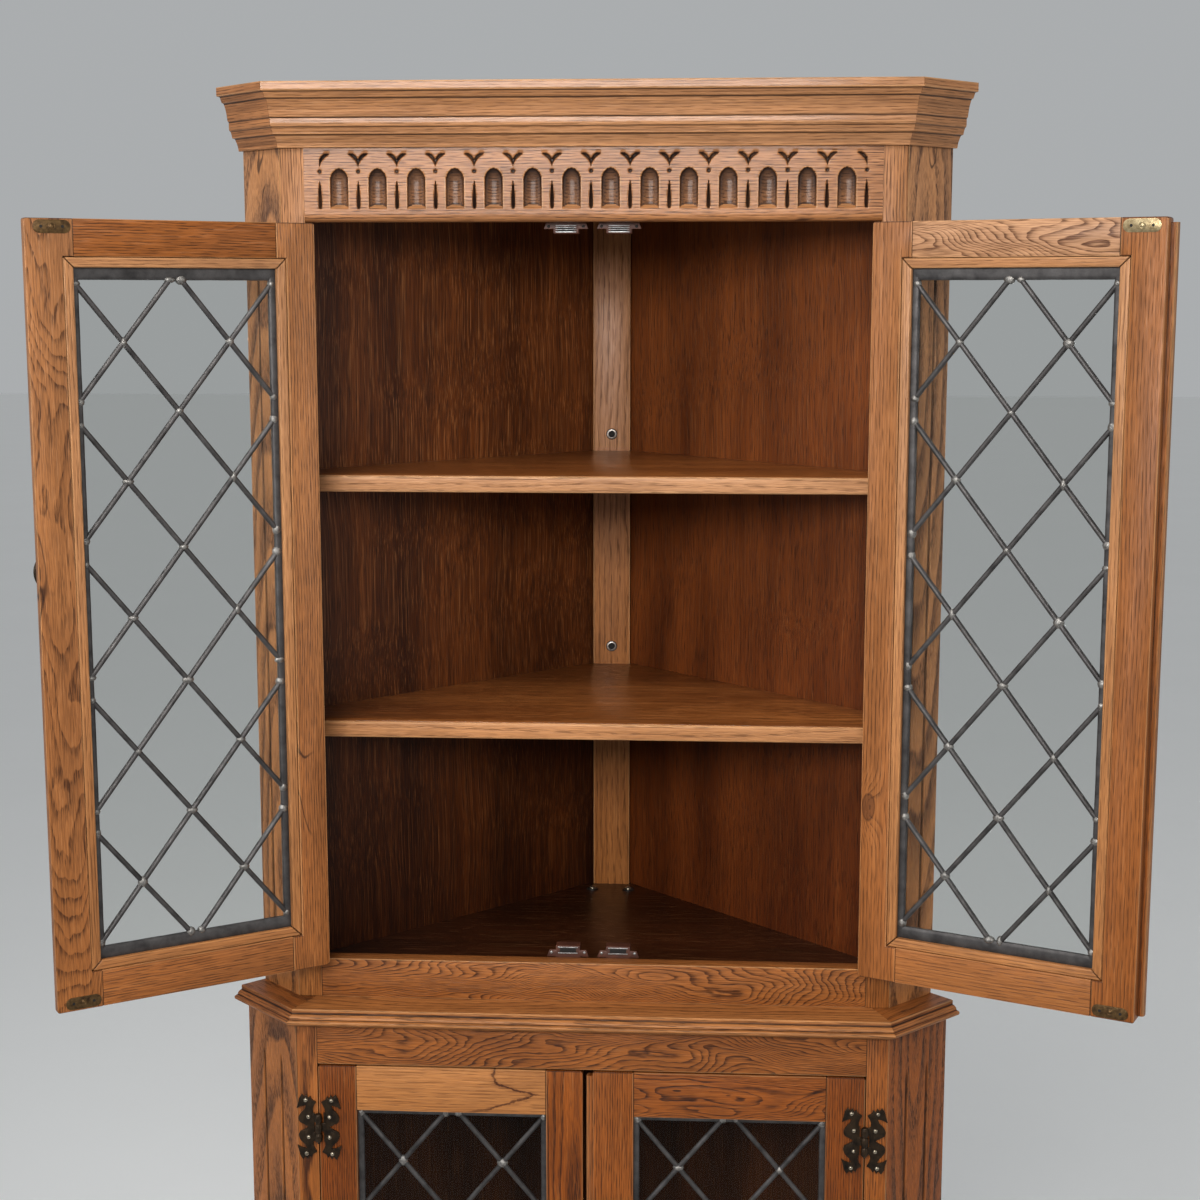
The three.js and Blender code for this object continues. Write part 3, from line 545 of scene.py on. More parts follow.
# Geometry Nodes helpers
def nodeGroup(name, inputs):
    tree = bpy.data.node_groups.new(name, "GeometryNodeTree")
    tree.interface.new_socket("Geometry", in_out="OUTPUT", socket_type="NodeSocketGeometry")
    for label, kind in {"Geometry": "Geometry", **inputs}.items():
        tree.interface.new_socket(label, in_out="INPUT", socket_type="NodeSocket" + kind)
    start, end = tree.nodes.new("NodeGroupInput"), tree.nodes.new("NodeGroupOutput")
    return tree, lambda label: Flow(start.outputs[label]), lambda value: feed(value, end.inputs[0])


def geo(tree, kind, settings=None, **inputs):
    return result(addNode(tree, "GeometryNode" + kind, settings, **inputs))


def jitter(tree, given, low, high, kind="FLOAT"):
    return result(addNode(tree, "FunctionNodeRandomValue", {"data_type": kind}, Min=low, Max=high,
                          Seed=given("Seed")))


def realised(tree, instances, finish):
    real = geo(tree, "RealizeInstances", Geometry=instances)
    return geo(tree, "SetMaterial", Geometry=real, Material=finish)


def grown(name, mesh, tree, values):
    holder = link(name, mesh)
    modifier = holder.modifiers.new(name, "NODES")
    modifier.node_group = tree
    sockets = {s.name: s.identifier for s in tree.interface.items_tree if s.in_out == "INPUT"}
    for label, value in values.items():
        modifier[sockets[label]] = value
    graph = bpy.context.evaluated_depsgraph_get()
    mesh = bpy.data.meshes.new_from_object(holder.evaluated_get(graph))
    holder.modifiers.clear()
    bpy.data.objects.remove(holder)
    return mesh


# Domed heads on a set of points: hinge pins, screws and bolts
def studTree():
    tree, given, give = nodeGroup("domedHeads", {"Radius": "Float", "Rise": "Float", "Variation": "Float",
                                                 "Seed": "Int", "Finish": "Material"})
    ball = geo(tree, "MeshUVSphere", Segments=12, Rings=8, Radius=1.0)
    size = combine(given("Radius"), given("Radius"), given("Rise"))
    size = size * jitter(tree, given, 1 - given("Variation"), 1 + given("Variation"))
    heads = geo(tree, "InstanceOnPoints", Points=given("Geometry"), Instance=ball, Scale=size)
    give(realised(tree, heads, given("Finish")))
    return tree


studs = studTree()


def pointMesh(points, edges=()):
    mesh = bpy.data.meshes.new("points")
    mesh.from_pydata([tuple(c * mm for c in p) for p in points], list(edges), [])
    return mesh


# Heads are made lying on z = 0 and then set on their face by place
def addStuds(target, points, radius, rise, place, slot, seed):
    mesh = grown("heads", pointMesh(points), studs, {
        "Radius": radius * mm, "Rise": rise * mm, "Variation": 0.08, "Seed": seed, "Finish": studMetal})
    addGrown(target, mesh, place, slot)


# slot is one material index, or the list of finishes whose order the piece keeps
def addGrown(target, mesh, place, slot, wear=0.4):
    body = bmesh.new()
    body.from_mesh(mesh)
    order = [slot.index(f) if f in slot else 0 for f in mesh.materials] if isinstance(slot, list) else None
    bpy.data.meshes.remove(mesh)
    wearLayer = woodLayers(body).loops.layers.float["wear"]
    for face in body.faces:
        face.material_index = order[face.material_index] if order else slot
        for loop in face.loops:
            loop[wearLayer] = wear
    pour(target, body, toMetres @ place @ Matrix.Scale(1 / mm, 4))


# Plan of both cases
plan = {"doorway": 301, "upperHalf": 325, "lowerHalf": 322.4, "setback": 35, "returnWide": 74.25, "backFlat": 18,
        "boardThick": 20, "sheetThick": 16, "panelThick": 6, "postHalf": 23.25, "postDepth": 20, "seam": 0.2}
wallReach = plan["upperHalf"] + plan["setback"] + plan["returnWide"] * root2
backReach = wallReach - plan["backFlat"]
wallLine = wallReach - (plan["panelThick"] + plan["seam"]) * root2
level = {"plinth": 84, "lowerRail": 136, "lowerHead": 765, "waist": 812, "waistTop": 830, "upperRail": 874,
         "frieze": 1678, "cornice": 1754, "topBoard": 1801}
cases = {"upper": (plan["upperHalf"], plan["setback"]), "lower": (plan["lowerHalf"], 0)}


def planCorner(half, front, out):
    return half + out * math.tan(pi / 8), front - out


def planEnd(half, front, out):
    across = half - front + out * root2
    return (wallReach + across) / 2, (wallReach - across) / 2


def mirroredPlan(*right):
    return [*right] + [(-x, y) for x, y in reversed(right)]


def wholePlan(half, front, out):
    return mirroredPlan(planCorner(half, front, out), planEnd(half, front, out), (plan["backFlat"], backReach))


def insidePlan(half, front, shelfFront):
    insideLine = half - front - (plan["boardThick"] + plan["seam"]) * root2
    hold = plan["postHalf"] + plan["seam"]
    return mirroredPlan(
        (shelfFront + insideLine, shelfFront),
        ((wallLine + insideLine) / 2, (wallLine - insideLine) / 2),
        (hold, wallLine - hold),
        (hold, backReach - plan["postDepth"] - plan["seam"]))


def lifted(points, z):
    return [(x, y, z) for x, y in points]


# A smooth curve from p1 on towards p2, in steps
def curved(p0, p1, p2, p3, steps):
    return [tuple(0.5 * (2 * b + (c - a) * t + (2 * a - 5 * b + 4 * c - d) * t * t + (3 * b - a - 3 * c + d) * t ** 3)
                  for a, b, c, d in zip(p0, p1, p2, p3)) for t in (k / steps for k in range(steps))]


# Mouldings run round the front and both returns, mitred at the corners and dead against the walls
def smoothProfile(points, corners):
    done = []
    for i in range(len(points) - 1):
        p1, p2 = points[i], points[i + 1]
        p0 = points[i - 1] if i > 0 and i not in corners else p1
        p3 = points[i + 2] if i + 2 < len(points) and i + 1 not in corners else p2
        done += curved(p0, p1, p2, p3, 1 if i in corners and i + 1 in corners else 4)
    return done + points[-1:]


# Wear and painted shading round a profile: convex turns get pale wear with a painted highlight, concave ones glaze with
# painted shade
def profileWearAndShading(profile):
    worn = []
    for i, point in enumerate(profile):
        a = Vector(point) - Vector(profile[i - 1])
        b = Vector(profile[(i + 1) % len(profile)]) - Vector(point)
        turn = math.degrees(math.atan2(a.x * b.y - a.y * b.x, a.dot(b)))
        worn.append(max(-1, min(0.9, turn / (36 if turn > 0 else 20))) if min(a.length, b.length) > 1e-6 else 0)
    return worn


# Sharp turns are cut back, and long straights get a point near each end to hold the wear there
def easedProfile(profile, size):
    eased = []
    for i, point in enumerate(profile):
        here = Vector(point)
        a, b = here - Vector(profile[i - 1]), Vector(profile[(i + 1) % len(profile)]) - here
        if min(a.length, b.length) < 1e-6:
            continue
        if math.degrees(a.angle(b)) > 28:
            cut = min(size, a.length * 0.4, b.length * 0.4)
            back, ahead = a.normalized() * cut, b.normalized() * cut
            eased += [here - back, here + (ahead - back) * 0.3, here + ahead]
        else:
            eased.append(here)
    held = []
    for point, after in zip(eased, eased[1:] + eased[:1]):
        run = after - point
        step = run.normalized() * (size + 0.6)
        held += [point, point + step, after - step] if run.length > 4 * size + 2 else [point]
    return [tuple(p) for p in held]


def mouldingRuns(target, half, front, profile, foot, seed, tones, gap=0.12):
    worn = profileWearAndShading(profile)

    def ring(planPoint, side, dx, dy):
        places = [(planPoint(half, front, out), up) for out, up in profile]
        return [(side * x + dx, y + dy, foot + up) for (x, y), up in places]

    runs = [(ring(planEnd, -1, 0, 0), ring(planCorner, -1, -gap, gap), (1, -1, 0)),
            (ring(planCorner, -1, gap, 0), ring(planCorner, 1, -gap, 0), (1, 0, 0)),
            (ring(planCorner, 1, gap, gap), ring(planEnd, 1, 0, 0), (1, 1, 0))]
    for index, (start, end, along) in enumerate(runs):
        along = Vector(along).normalized()
        ringBody(target, [start, end], [worn, worn], (along, zAxis, along.cross(zAxis)), seed + index, tones[index])


# Profiles run anticlockwise as (out, up), from the foot at the back; corners are the points that stay sharp
mouldings = {
    "cornice_run": {
        "node": "cornice", "case": "upper", "foot": level["cornice"], "seed": 11, "tones": (0.52, 0.68, 0.66),
        "ease": 0.55, "finish": oakMoulded, "corners": {0, 1, 4, 5, 7, 8, 10, 11, 14, 15, 17, 18, 19, 20},
        "profile": [(0, 0), (4.8, 0), (5.3, 1.5), (6.2, 6), (9.2, 12.5), (12.6, 13.5), (13, 16), (14.3, 20),
                    (15.8, 21), (16.3, 23.5), (16.3, 29.5), (17.8, 31), (18.2, 34), (19.4, 41), (21.8, 48.5),
                    (24.2, 49.5), (25.3, 52), (26.4, 55), (30.5, 55.8), (30.5, 65), (0, 65)]},
    "waist_run": {
        "node": "waist_board", "case": "lower", "foot": level["waist"], "seed": 21, "tones": (0.42, 0.64, 0.46),
        "ease": 0.55, "finish": oak, "corners": {0, 1, 6, 7, 10, 11, 12, 13},
        "profile": [(-60, 0), (11, 0), (13.3, 1.8), (16.6, 3.4), (17.7, 5.6), (17.2, 7.1), (15.6, 7.8), (13.4, 8.4),
                    (12.8, 10.4), (10.8, 12.2), (8.9, 12.8), (8, 13.3), (8, 18), (-60, 18)],
        "inner": {"out": -60.3, "thick": 17.4}},
    "plinth_run": {
        "node": "plinth", "case": "lower", "foot": 0, "seed": 31, "tones": (0.3, 0.36, 0.3),
        "ease": 1.0, "finish": oak, "corners": {0, 1, 5, 6},
        "profile": [(-7.8, 0), (8, 0), (8, 76.4), (7.4, 79), (6, 81), (2.8, 84), (-7.8, 84)]},
}
for name, part in mouldings.items():
    run = newBody()
    case = cases[part["case"]]
    shape = easedProfile(smoothProfile(part["profile"], part["corners"]), part["ease"])
    mouldingRuns(run, *case, shape, part["foot"], part["seed"], part["tones"])
    if "inner" in part:
        inner = lifted(wholePlan(*case, part["inner"]["out"]), part["foot"] + 0.3)
        board(run, inner, (0, 0, part["inner"]["thick"]), xAxis, part["seed"] + 3, 0.3)
    finishPiece(name, run, [part["finish"]], [part["node"]])
print("mouldings made")

# Corner posts: a front stile and a canted return with two flutes
flutes = {"places": (0.34, 0.68), "half": 2.75, "depth": 2.4, "tip": 16,
          "columns": (-1.35, -1, -0.82, -0.55, -0.25, 0, 0.25, 0.55, 0.82, 1, 1.35)}
stilePlan = {"flat": 2.7, "mitre": 1.91, "back": 6.6}
returnPlan = {"start": 2.9, "flat": 4.2, "edge": 1.2, "rebate": 6.2, "lap": 8, "back": 9.6}
spans = {"upper": (level["waistTop"], level["topBoard"], 875, 1670),
         "lower": (level["plinth"], level["waist"], 129, 767)}
posts = {"upper_left_post": (0.65, 0.66), "upper_right_post": (0.58, 0.72),
         "lower_left_post": (0.5, 0.54), "lower_right_post": (0.44, 0.38)}


def cantedReturn(target, half, front, side, foot, top, fluteFoot, fluteTop, seed, tone):
    wide = (planEnd(half, front, 0)[0] - half) * root2
    # along the face, into it, wear and painted shading; or the place of a flute and the share of its half width
    r, deep = returnPlan, plan["boardThick"]
    columns = [(r["start"], 0, 1), (r["flat"], 0, 0)]
    columns += [(wide * share, s, None) for share in flutes["places"] for s in flutes["columns"]]
    columns += [(wide - r["edge"], 0, 0), (wide, 0.5, 0.8), (wide, r["lap"], 0.3), (wide - r["rebate"], r["lap"], 0),
                (wide - r["rebate"], deep, 0), (r["back"], deep, 0)]
    tips = [k / 9 for k in range(1, 10)]
    levels = [(foot, 0), (fluteFoot - 0.5, 0)]
    levels += [(fluteFoot + flutes["tip"] * t, t) for t in tips]
    levels += [(fluteTop - flutes["tip"] * t, t) for t in reversed(tips)]
    levels += [(fluteTop + 0.5, 0), (top, 0)]
    rings, wears = [], []
    for z, t in levels:
        wideness, deepness = sin(t * pi / 2) ** 0.8, sin(t * pi / 2) ** 1.1
        ring, wear = [], []
        for a, d, w in columns:
            if w is None:
                s = d
                a += s * flutes["half"] * max(wideness, 0.03)
                inside = abs(s) < 1
                d = flutes["depth"] * deepness * (1 - abs(s) ** 1.7) if inside else 0
                # flutes: painted shade down their hollows, and pale wear with a painted highlight along their edges
                w = deepness * (-0.75 if abs(s) < 0.6 else -0.35 if inside else 0.45 if abs(s) == 1 else 0)
            ring.append((side * (half + (a - d) * root2 / 2), front + (a + d) * root2 / 2, z))
            wear.append(w)
        rings.append(ring)
        wears.append(wear)
    outward = Vector((side, -1, 0)).normalized()
    ringBody(target, rings, wears, (zAxis, outward.cross(zAxis), outward), seed, tone, 0.13, slot=1)


for index, (name, tones) in enumerate(posts.items()):
    case, hand, _ = name.split("_")
    half, front = cases[case]
    side = -1 if hand == "left" else 1
    foot, top = spans[case][:2]
    body = newBody()
    inner, back = plan["doorway"], front + plan["boardThick"]
    mitre = stilePlan["mitre"]
    stile = [(inner, front), (half - stilePlan["flat"], front), (half + mitre, front + mitre),
             (half - stilePlan["back"], back), (inner, back)]
    board(body, [(side * x, y, foot) for x, y in stile], (0, 0, top - foot), zAxis, 41 + index, tones[0], edge=0.7,
          wear=0.4)
    cantedReturn(body, half, front, side, *spans[case], 51 + index, tones[1])
    stileFinish = oakLined if name == "lower_left_post" else oak
    finishPiece(name + "_boards", body, [stileFinish, oakBold], [name])


# Rails, backs and boards of the cases
def wideRail(target, front, foot, top, seed, tone, **more):
    outline = upright(-plan["doorway"], plan["doorway"], front, foot, top)
    board(target, outline, (0, plan["boardThick"], 0), xAxis, seed, tone, **more)


rails = {"upper_bottom_rail": ("upper", level["waistTop"], level["upperRail"], 61, 0.52),
         "lower_top_rail": ("lower", level["lowerHead"], level["waist"], 62, 0.48),
         "lower_bottom_rail": ("lower", level["plinth"], level["lowerRail"], 63, 0.44)}
for name, (case, foot, top, seed, tone) in rails.items():
    body = newBody()
    wideRail(body, cases[case][1], foot, top, seed, tone, straight=False)
    finishPiece(name + "_board", body, [oakWild], [name])


def layer(target, outline, foot, thick, along, seed, tone, **more):
    board(target, lifted(outline, foot), (0, 0, thick), along, seed, tone, **more)


backPosts = {"upper_back_post": (level["waistTop"], level["topBoard"], 0.62, 71),
             "lower_back_post": (0, level["waist"], 0.4, 72)}
hold = plan["postHalf"]
postPlan = mirroredPlan((hold, backReach - plan["postDepth"]), (hold, wallLine - hold),
                        (wallLine - backReach, backReach))
for name, (foot, top, tone, seed) in backPosts.items():
    body = newBody()
    layer(body, postPlan, foot, top - foot, zAxis, seed, tone, edge=1.2)
    finishPiece(name + "_board", body, [oakCalm], [name])

shelf = {"front": 65, "thick": 18, "lip": 5, "lipTone": 0.74, "round": 2.2}
shelves = {"shelf_low": (1137, 81, 0.7), "shelf_high": (1409.2, 82, 0.66)}
for name, (top, seed, tone) in shelves.items():
    foot, front, lip = top - shelf["thick"], shelf["front"], shelf["lip"]
    outline = insidePlan(*cases["upper"], front)
    (rightX, _), (leftX, _) = outline[0], outline[-1]
    outline[0], outline[-1] = (rightX + lip, front + lip), (leftX - lip, front + lip)
    body = newBody()
    layer(body, outline, foot, shelf["thick"], xAxis, seed, tone, edge=0.35, wear=0)
    layer(body, [(leftX, front), (rightX, front), outline[0], outline[-1]], foot, shelf["thick"], xAxis, seed + 5,
          shelf["lipTone"], edge=shelf["round"], slot=1, segments=3, wear=0.5)
    finishPiece(name + "_board", body, [shelfVeneer, oakCalm], [name])

for case, foot in (("upper", level["waistTop"]), ("lower", level["plinth"])):
    body = newBody()
    inside = insidePlan(*cases[case], cases[case][1] + plan["boardThick"])
    layer(body, inside, foot, plan["sheetThick"], xAxis, 91, 0.4, edge=0.4, wear=0)
    finishPiece(case + "_bottom_board_sheet", body, [floorVeneer], [case + "_bottom_board"])

body = newBody()
layer(body, wholePlan(*cases["upper"], -plan["seam"]), level["topBoard"], plan["sheetThick"], xAxis, 95, 0.34, edge=0.8)
finishPiece("upper_top_sheet", body, [oak], ["upper_top_board"])

panels = {"upper_left_panel": panelLeft, "upper_right_panel": panelRight,
          "lower_left_panel": shadedCellarVeneer, "lower_right_panel": shadedCellarVeneer}
for name, finish in panels.items():
    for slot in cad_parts[name].material_slots:
        slot.material = finish
print("cases made")

# Carved frieze: one bay of the arcade, repeated along the board by a node tree
arcade = {"bays": 14, "pitch": 40.6, "wide": 19.2, "high": 41.5, "sill": 13.2, "depth": 5.4, "sillRise": 4.6,
          "crown": 13.5, "slitHalf": 2.3, "slitHigh": 28, "slitDepth": 3.0, "dotRadius": 2.2, "dotUp": 51.7,
          "dotDepth": 1.8, "swallowHalf": 10.4, "swallowUp": 57.4, "swallowHigh": 12.8, "swallowDepth": 3.2,
          "nose": 6, "cell": 0.8, "carved": (12.2, 71.4), "flat": 73.5, "weld": 0.00002}
# Half of the swallow-tailed cut over the slit, as shares of its half width and height
wing = [(0, -0.1), (0.12, 0.18), (0.3, 0.43), (0.58, 0.66), (1, 0.9), (0.94, 1), (0.52, 1), (0.24, 0.86), (0, 0.58)]


def insideDistance(px, pz, outline):
    best = np.full(px.shape, 1e9)
    inside = np.zeros(px.shape, bool)
    for (x1, z1), (x2, z2) in zip(outline, outline[1:] + outline[:1]):
        dx, dz = x2 - x1, z2 - z1
        t = np.clip(((px - x1) * dx + (pz - z1) * dz) / (dx * dx + dz * dz), 0, 1)
        best = np.minimum(best, np.hypot(px - x1 - t * dx, pz - z1 - t * dz))
        if z1 != z2:
            inside ^= ((z1 > pz) != (z2 > pz)) & (px < dx * (pz - z1) / dz + x1)
    return np.where(inside, best, 0.0)


# Depth of the cuts between two arches, for distances x from the middle between them
def cutDepth(x, z):
    a = arcade
    up = z - a["sill"]
    share = np.clip(up / a["slitHigh"], 0, 1)
    slitHalf = a["slitHalf"] * np.interp(share, [0, 0.1, 0.35, 0.8, 1], [0.6, 0.9, 1, 0.6, 0.05])
    slit = a["slitDepth"] * np.clip(1 - np.abs(x) / slitHalf, 0, 1) ** 0.8 * ((up > 0) & (up < a["slitHigh"]))
    reach = np.hypot(x, z - a["dotUp"]) / a["dotRadius"]
    dot = a["dotDepth"] * np.clip(1 - reach ** 2, 0, 1) ** 0.5
    tail = [(u * a["swallowHalf"], v * a["swallowHigh"] + a["swallowUp"]) for u, v in wing]
    tail += [(-u, v) for u, v in reversed(tail[1:-1])]
    swallow = np.minimum(a["swallowDepth"], insideDistance(x, z, tail) * 2.2)
    return np.maximum(np.maximum(slit, dot), swallow), swallow


def nicheDepth(x, z):
    a = arcade
    radius = a["wide"] / 2
    spring = a["sill"] + a["high"] - a["crown"]
    reach = np.where(z > spring, np.hypot(x / radius, (z - spring) / a["crown"]), np.abs(x) / radius)
    sill = np.clip((z - a["sill"]) / a["sillRise"], 0, 1)
    return a["depth"] * np.minimum(np.sqrt(np.clip(1 - reach ** 2, 0, 1)), sill)


def bayDepth(x, z):
    return cutDepth(arcade["pitch"] / 2 - np.abs(x), z)[0]


# Glaze and painted shade in the cuts: nearly black in the narrow ones, brown in the niches and darker towards their
# edges and tops, a painted shadow line along the foot of each niche, a painted highlight on their sills and a pale worn
# rim round them
def bayGlazeAndShade(x, z, cut):
    a = arcade
    inNiche = nicheDepth(x, z) / a["depth"]
    sillTop = a["sill"] + a["sillRise"] * inNiche
    upward = np.clip((z - a["sill"]) / 26, 0, 1)
    niche = np.where(inNiche > 0, 0.4 + 0.3 * upward ** 2 + 0.56 * (1 - inNiche) ** 0.9, 0)
    around = nicheDepth(x * 0.9, z + np.where(z > a["sill"] + 20, -1.3, 0))
    niche = np.where((inNiche <= 0) & (around > 0), -0.45, niche)
    foot = (z > sillTop) & (z < sillTop + 2.2) & (inNiche > 0)
    niche = np.where(foot, 0.85, np.where(z < sillTop + 0.4, -0.5 * inNiche, niche))
    return np.clip(-niche - np.clip(cut / 0.9, 0, 1), -1, 1)


# A sheet of the board's face with its rounded lower nose, as a grid of columns and heights
def friezeSheet(name, columns, depth, niche, darkness, move=lambda x: x, flip=False):
    nose = arcade["nose"]
    t = np.linspace(pi / 2, 0, 6)
    total = level["cornice"] - level["frieze"] + 1
    carved = np.arange(*arcade["carved"], arcade["cell"])
    flat = np.concatenate([[nose + 2, nose + 4.5], carved, [arcade["flat"], total]])
    heights = np.concatenate([nose * (1 - np.sin(t)), flat])
    backs = np.concatenate([nose * (1 - np.cos(t)), np.zeros(len(flat))])
    gx, gz = np.meshgrid(columns, heights)
    cut = depth(gx, gz)
    grids = [move(gx), backs[:, None] + cut, gz, niche(gx, gz) * mm, darkness(gx, gz, cut)]
    gx, gy, gz, hollow, dark = (g[:, ::-1] if flip else g for g in grids)
    index = np.arange(gx.size).reshape(gx.shape)
    quads = np.stack([index[:-1, :-1], index[:-1, 1:], index[1:, 1:], index[1:, :-1]], axis=-1).reshape(-1, 4)
    mesh = bpy.data.meshes.new(name)
    mesh.from_pydata((np.stack([gx.ravel(), gy.ravel(), gz.ravel()], axis=1) * mm).tolist(), [], quads.tolist())
    for key, values in (("niche", hollow), ("dark", dark)):
        mesh.attributes.new(key, "FLOAT", "POINT").data.foreach_set("value", values.ravel().astype(np.float32))
    return mesh


def arcadeTree():
    tree, given, give = nodeGroup("carvedArcade", {"Bays": "Int", "Pitch": "Float", "Depth variation": "Float",
                                                   "Seed": "Int", "Finish": "Material"})
    pitch, variation = given("Pitch"), given("Depth variation")
    line = geo(tree, "MeshLine", {"mode": "OFFSET"}, Count=given("Bays"), Offset=combine(pitch, 0, 0),
               Start_Location=combine(pitch * (given("Bays") - 1) * -0.5, 0, 0))
    bays = geo(tree, "InstanceOnPoints", Points=line, Instance=given("Geometry"))
    kept = geo(tree, "StoreNamedAttribute", {"data_type": "FLOAT", "domain": "INSTANCE"}, Geometry=bays, Name="reach",
               Value=jitter(tree, given, 1 - variation, 1 + variation))
    real = geo(tree, "RealizeInstances", Geometry=kept)
    niche, reach = (geo(tree, "InputNamedAttribute", {"data_type": "FLOAT"}, Name=key) for key in ("niche", "reach"))
    carved = geo(tree, "SetPosition", Geometry=real, Offset=combine(0, niche * reach, 0))
    sewn = geo(tree, "MergeByDistance", Geometry=carved, Distance=arcade["weld"])
    give(geo(tree, "SetMaterial", Geometry=sewn, Material=given("Finish")))
    return tree


def endDepth(x, z):
    whole, swallow = cutDepth(x, z)
    return np.where((x < 0.25) | (whole > swallow), whole, 0)


def pourSheet(sheet, mesh):
    sheet.from_mesh(mesh)
    bpy.data.meshes.remove(mesh)


pitch, sheet = arcade["pitch"], bmesh.new()
bayColumns = np.linspace(-pitch / 2, pitch / 2, 2 * round(pitch / 2 / arcade["cell"]) + 1)
bay = friezeSheet("bay", bayColumns, bayDepth, nicheDepth, bayGlazeAndShade)
pourSheet(sheet, grown("arcade", bay, arcadeTree(), {
    "Bays": arcade["bays"], "Pitch": pitch * mm, "Depth variation": 0.07, "Seed": 5, "Finish": oakPale}))
reach = pitch * arcade["bays"] / 2
endColumns = np.concatenate([[0, 0.5], np.arange(1.3, 4, 0.8), [6, plan["doorway"] - reach]])
for side in (-1, 1):
    # the ends take the same glaze and painted shade in their cuts
    pourSheet(sheet, friezeSheet("end", endColumns, endDepth, lambda x, z: x * 0,
                                 lambda x, z, cut: -np.clip(cut / 0.9, 0, 1), lambda x: side * (x + reach), side < 0))
bmesh.ops.remove_doubles(sheet, verts=sheet.verts, dist=arcade["weld"])
pushed = bmesh.ops.extrude_edge_only(sheet, edges=[e for e in sheet.edges if e.is_boundary])
for vert in [g for g in pushed["geom"] if isinstance(g, bmesh.types.BMVert)]:
    vert.co.y = plan["boardThick"] * mm
bmesh.ops.holes_fill(sheet, edges=[e for e in sheet.edges if e.is_boundary], sides=0)
darkLayer = sheet.verts.layers.float["dark"]
sheetBody = newBody()
copied = {v: sheetBody.verts.new(v.co / mm) for v in sheet.verts}
wearLayer = sheetBody.loops.layers.float["wear"]
for face in sheet.faces:
    made = sheetBody.faces.new([copied[v] for v in face.verts])
    for loop, vert in zip(made.loops, face.verts):
        loop[wearLayer] = vert[darkLayer]
sheet.free()
frieze = newBody()
pourBoard(frieze, sheetBody, at(0, plan["setback"], level["frieze"]), (xAxis, zAxis, yAxis), 101, 0.56, True)
wideRail(frieze, plan["setback"], level["cornice"] + 1.2, level["topBoard"], 102, 0.6, edge=0)
finishPiece("frieze_carving", frieze, [oakPale], ["frieze_board"], crease=50)
print("frieze carved")

# Doors: tones and figures of the hinge stile, meeting stile, foot rail, head rail and beads
stages = {"upper": {"front": 35, "foot": 876, "height": 800, "footRail": 49, "headRail": 47, "end": 12,
                    "solderIn": 11.3, "up": 69.6},
          "lower": {"front": 0, "foot": 138, "height": 625, "footRail": 52, "headRail": 51, "end": 7,
                    "solderIn": 3.5, "up": 66.5}}
hands = {"left": {"side": 1, "width": 292.5, "lip": 0}, "right": {"side": -1, "width": 296.6, "lip": 7}}
doors = {
    "upper_left_door": {"open": 146, "tongue": 6.5, "tones": (0.52, 0.54, 0.5, 0.33, 0.68),
                        "figure": ("straight", "soft", "straight", "straight")},
    "upper_right_door": {"open": 155, "tongue": 0, "tones": (0.49, 0.42, 0.54, 0.78, 0.7),
                         "figure": ("knot", "calm", "calm", "wild")},
    "lower_left_door": {"open": 0, "tongue": 0, "tones": (0.24, 0.34, 0.36, 0.74, 0.6),
                        "figure": ("straight", "lined", "straight", "forked")},
    "lower_right_door": {"open": 0, "tongue": 0, "tones": (0.22, 0.4, 0.36, 0.4, 0.6),
                         "figure": ("straight", "straight", "straight", "wild")},
}
for name, door in doors.items():
    stage, hand, _ = name.split("_")
    door.update(stages[stage], **hands[hand])
joinery = {"axisOut": 4.6, "thick": 21, "stile": 42, "sight": 210, "bead": 10.5, "rebate": 7.2, "pin": 300,
           "across": 55.5, "lightFront": 12.0, "lightBack": 18.2, "borderSide": 6.5, "hidden": 5,
           "corner": 4.4, "cornerSmall": 2, "gap": 0.12, "quirk": 0.45, "railShy": 0.15, "beadShy": 0.7,
           "tongueDeep": 9.6, "leastPane": 60, "paneHalf": 1.3, "paneTilt": 0.006}
doorBack = joinery["axisOut"] + joinery["thick"]


# Each door is drawn about its hinge pin, with s running from the pin towards the meeting stile
def doorPlace(door):
    return at(-door["side"] * joinery["pin"], door["front"] - joinery["axisOut"], door["foot"],
              -door["side"] * door["open"], "Z")


# The middle of a door's light, and half its width and height
def lightOf(door):
    j = joinery
    low, high = door["footRail"], door["height"] - door["headRail"]
    middle = at(door["side"] * (j["stile"] + j["sight"] / 2), (j["lightFront"] + j["lightBack"]) / 2, (low + high) / 2)
    return doorPlace(door) @ middle, j["sight"] / 2, (high - low) / 2


# A stile or rail with the rebate for the leaded light, as outlines in (s, z) at their depths, front first
def rebated(target, layers, side, place, axes, seed, tone, straight, slot, edge=1.1):
    body = newBody()
    skin(body, [[(side * s, y, z) for s, z in points] for points, y in layers])
    bmesh.ops.remove_doubles(body, verts=body.verts, dist=0.001)
    bmesh.ops.dissolve_degenerate(body, edges=body.edges, dist=0.001)
    bmesh.ops.recalc_face_normals(body, faces=body.faces)
    easeEdges(body, edge, axes[0], 0.6)
    pourBoard(target, body, place, axes, seed, tone, straight, slot)


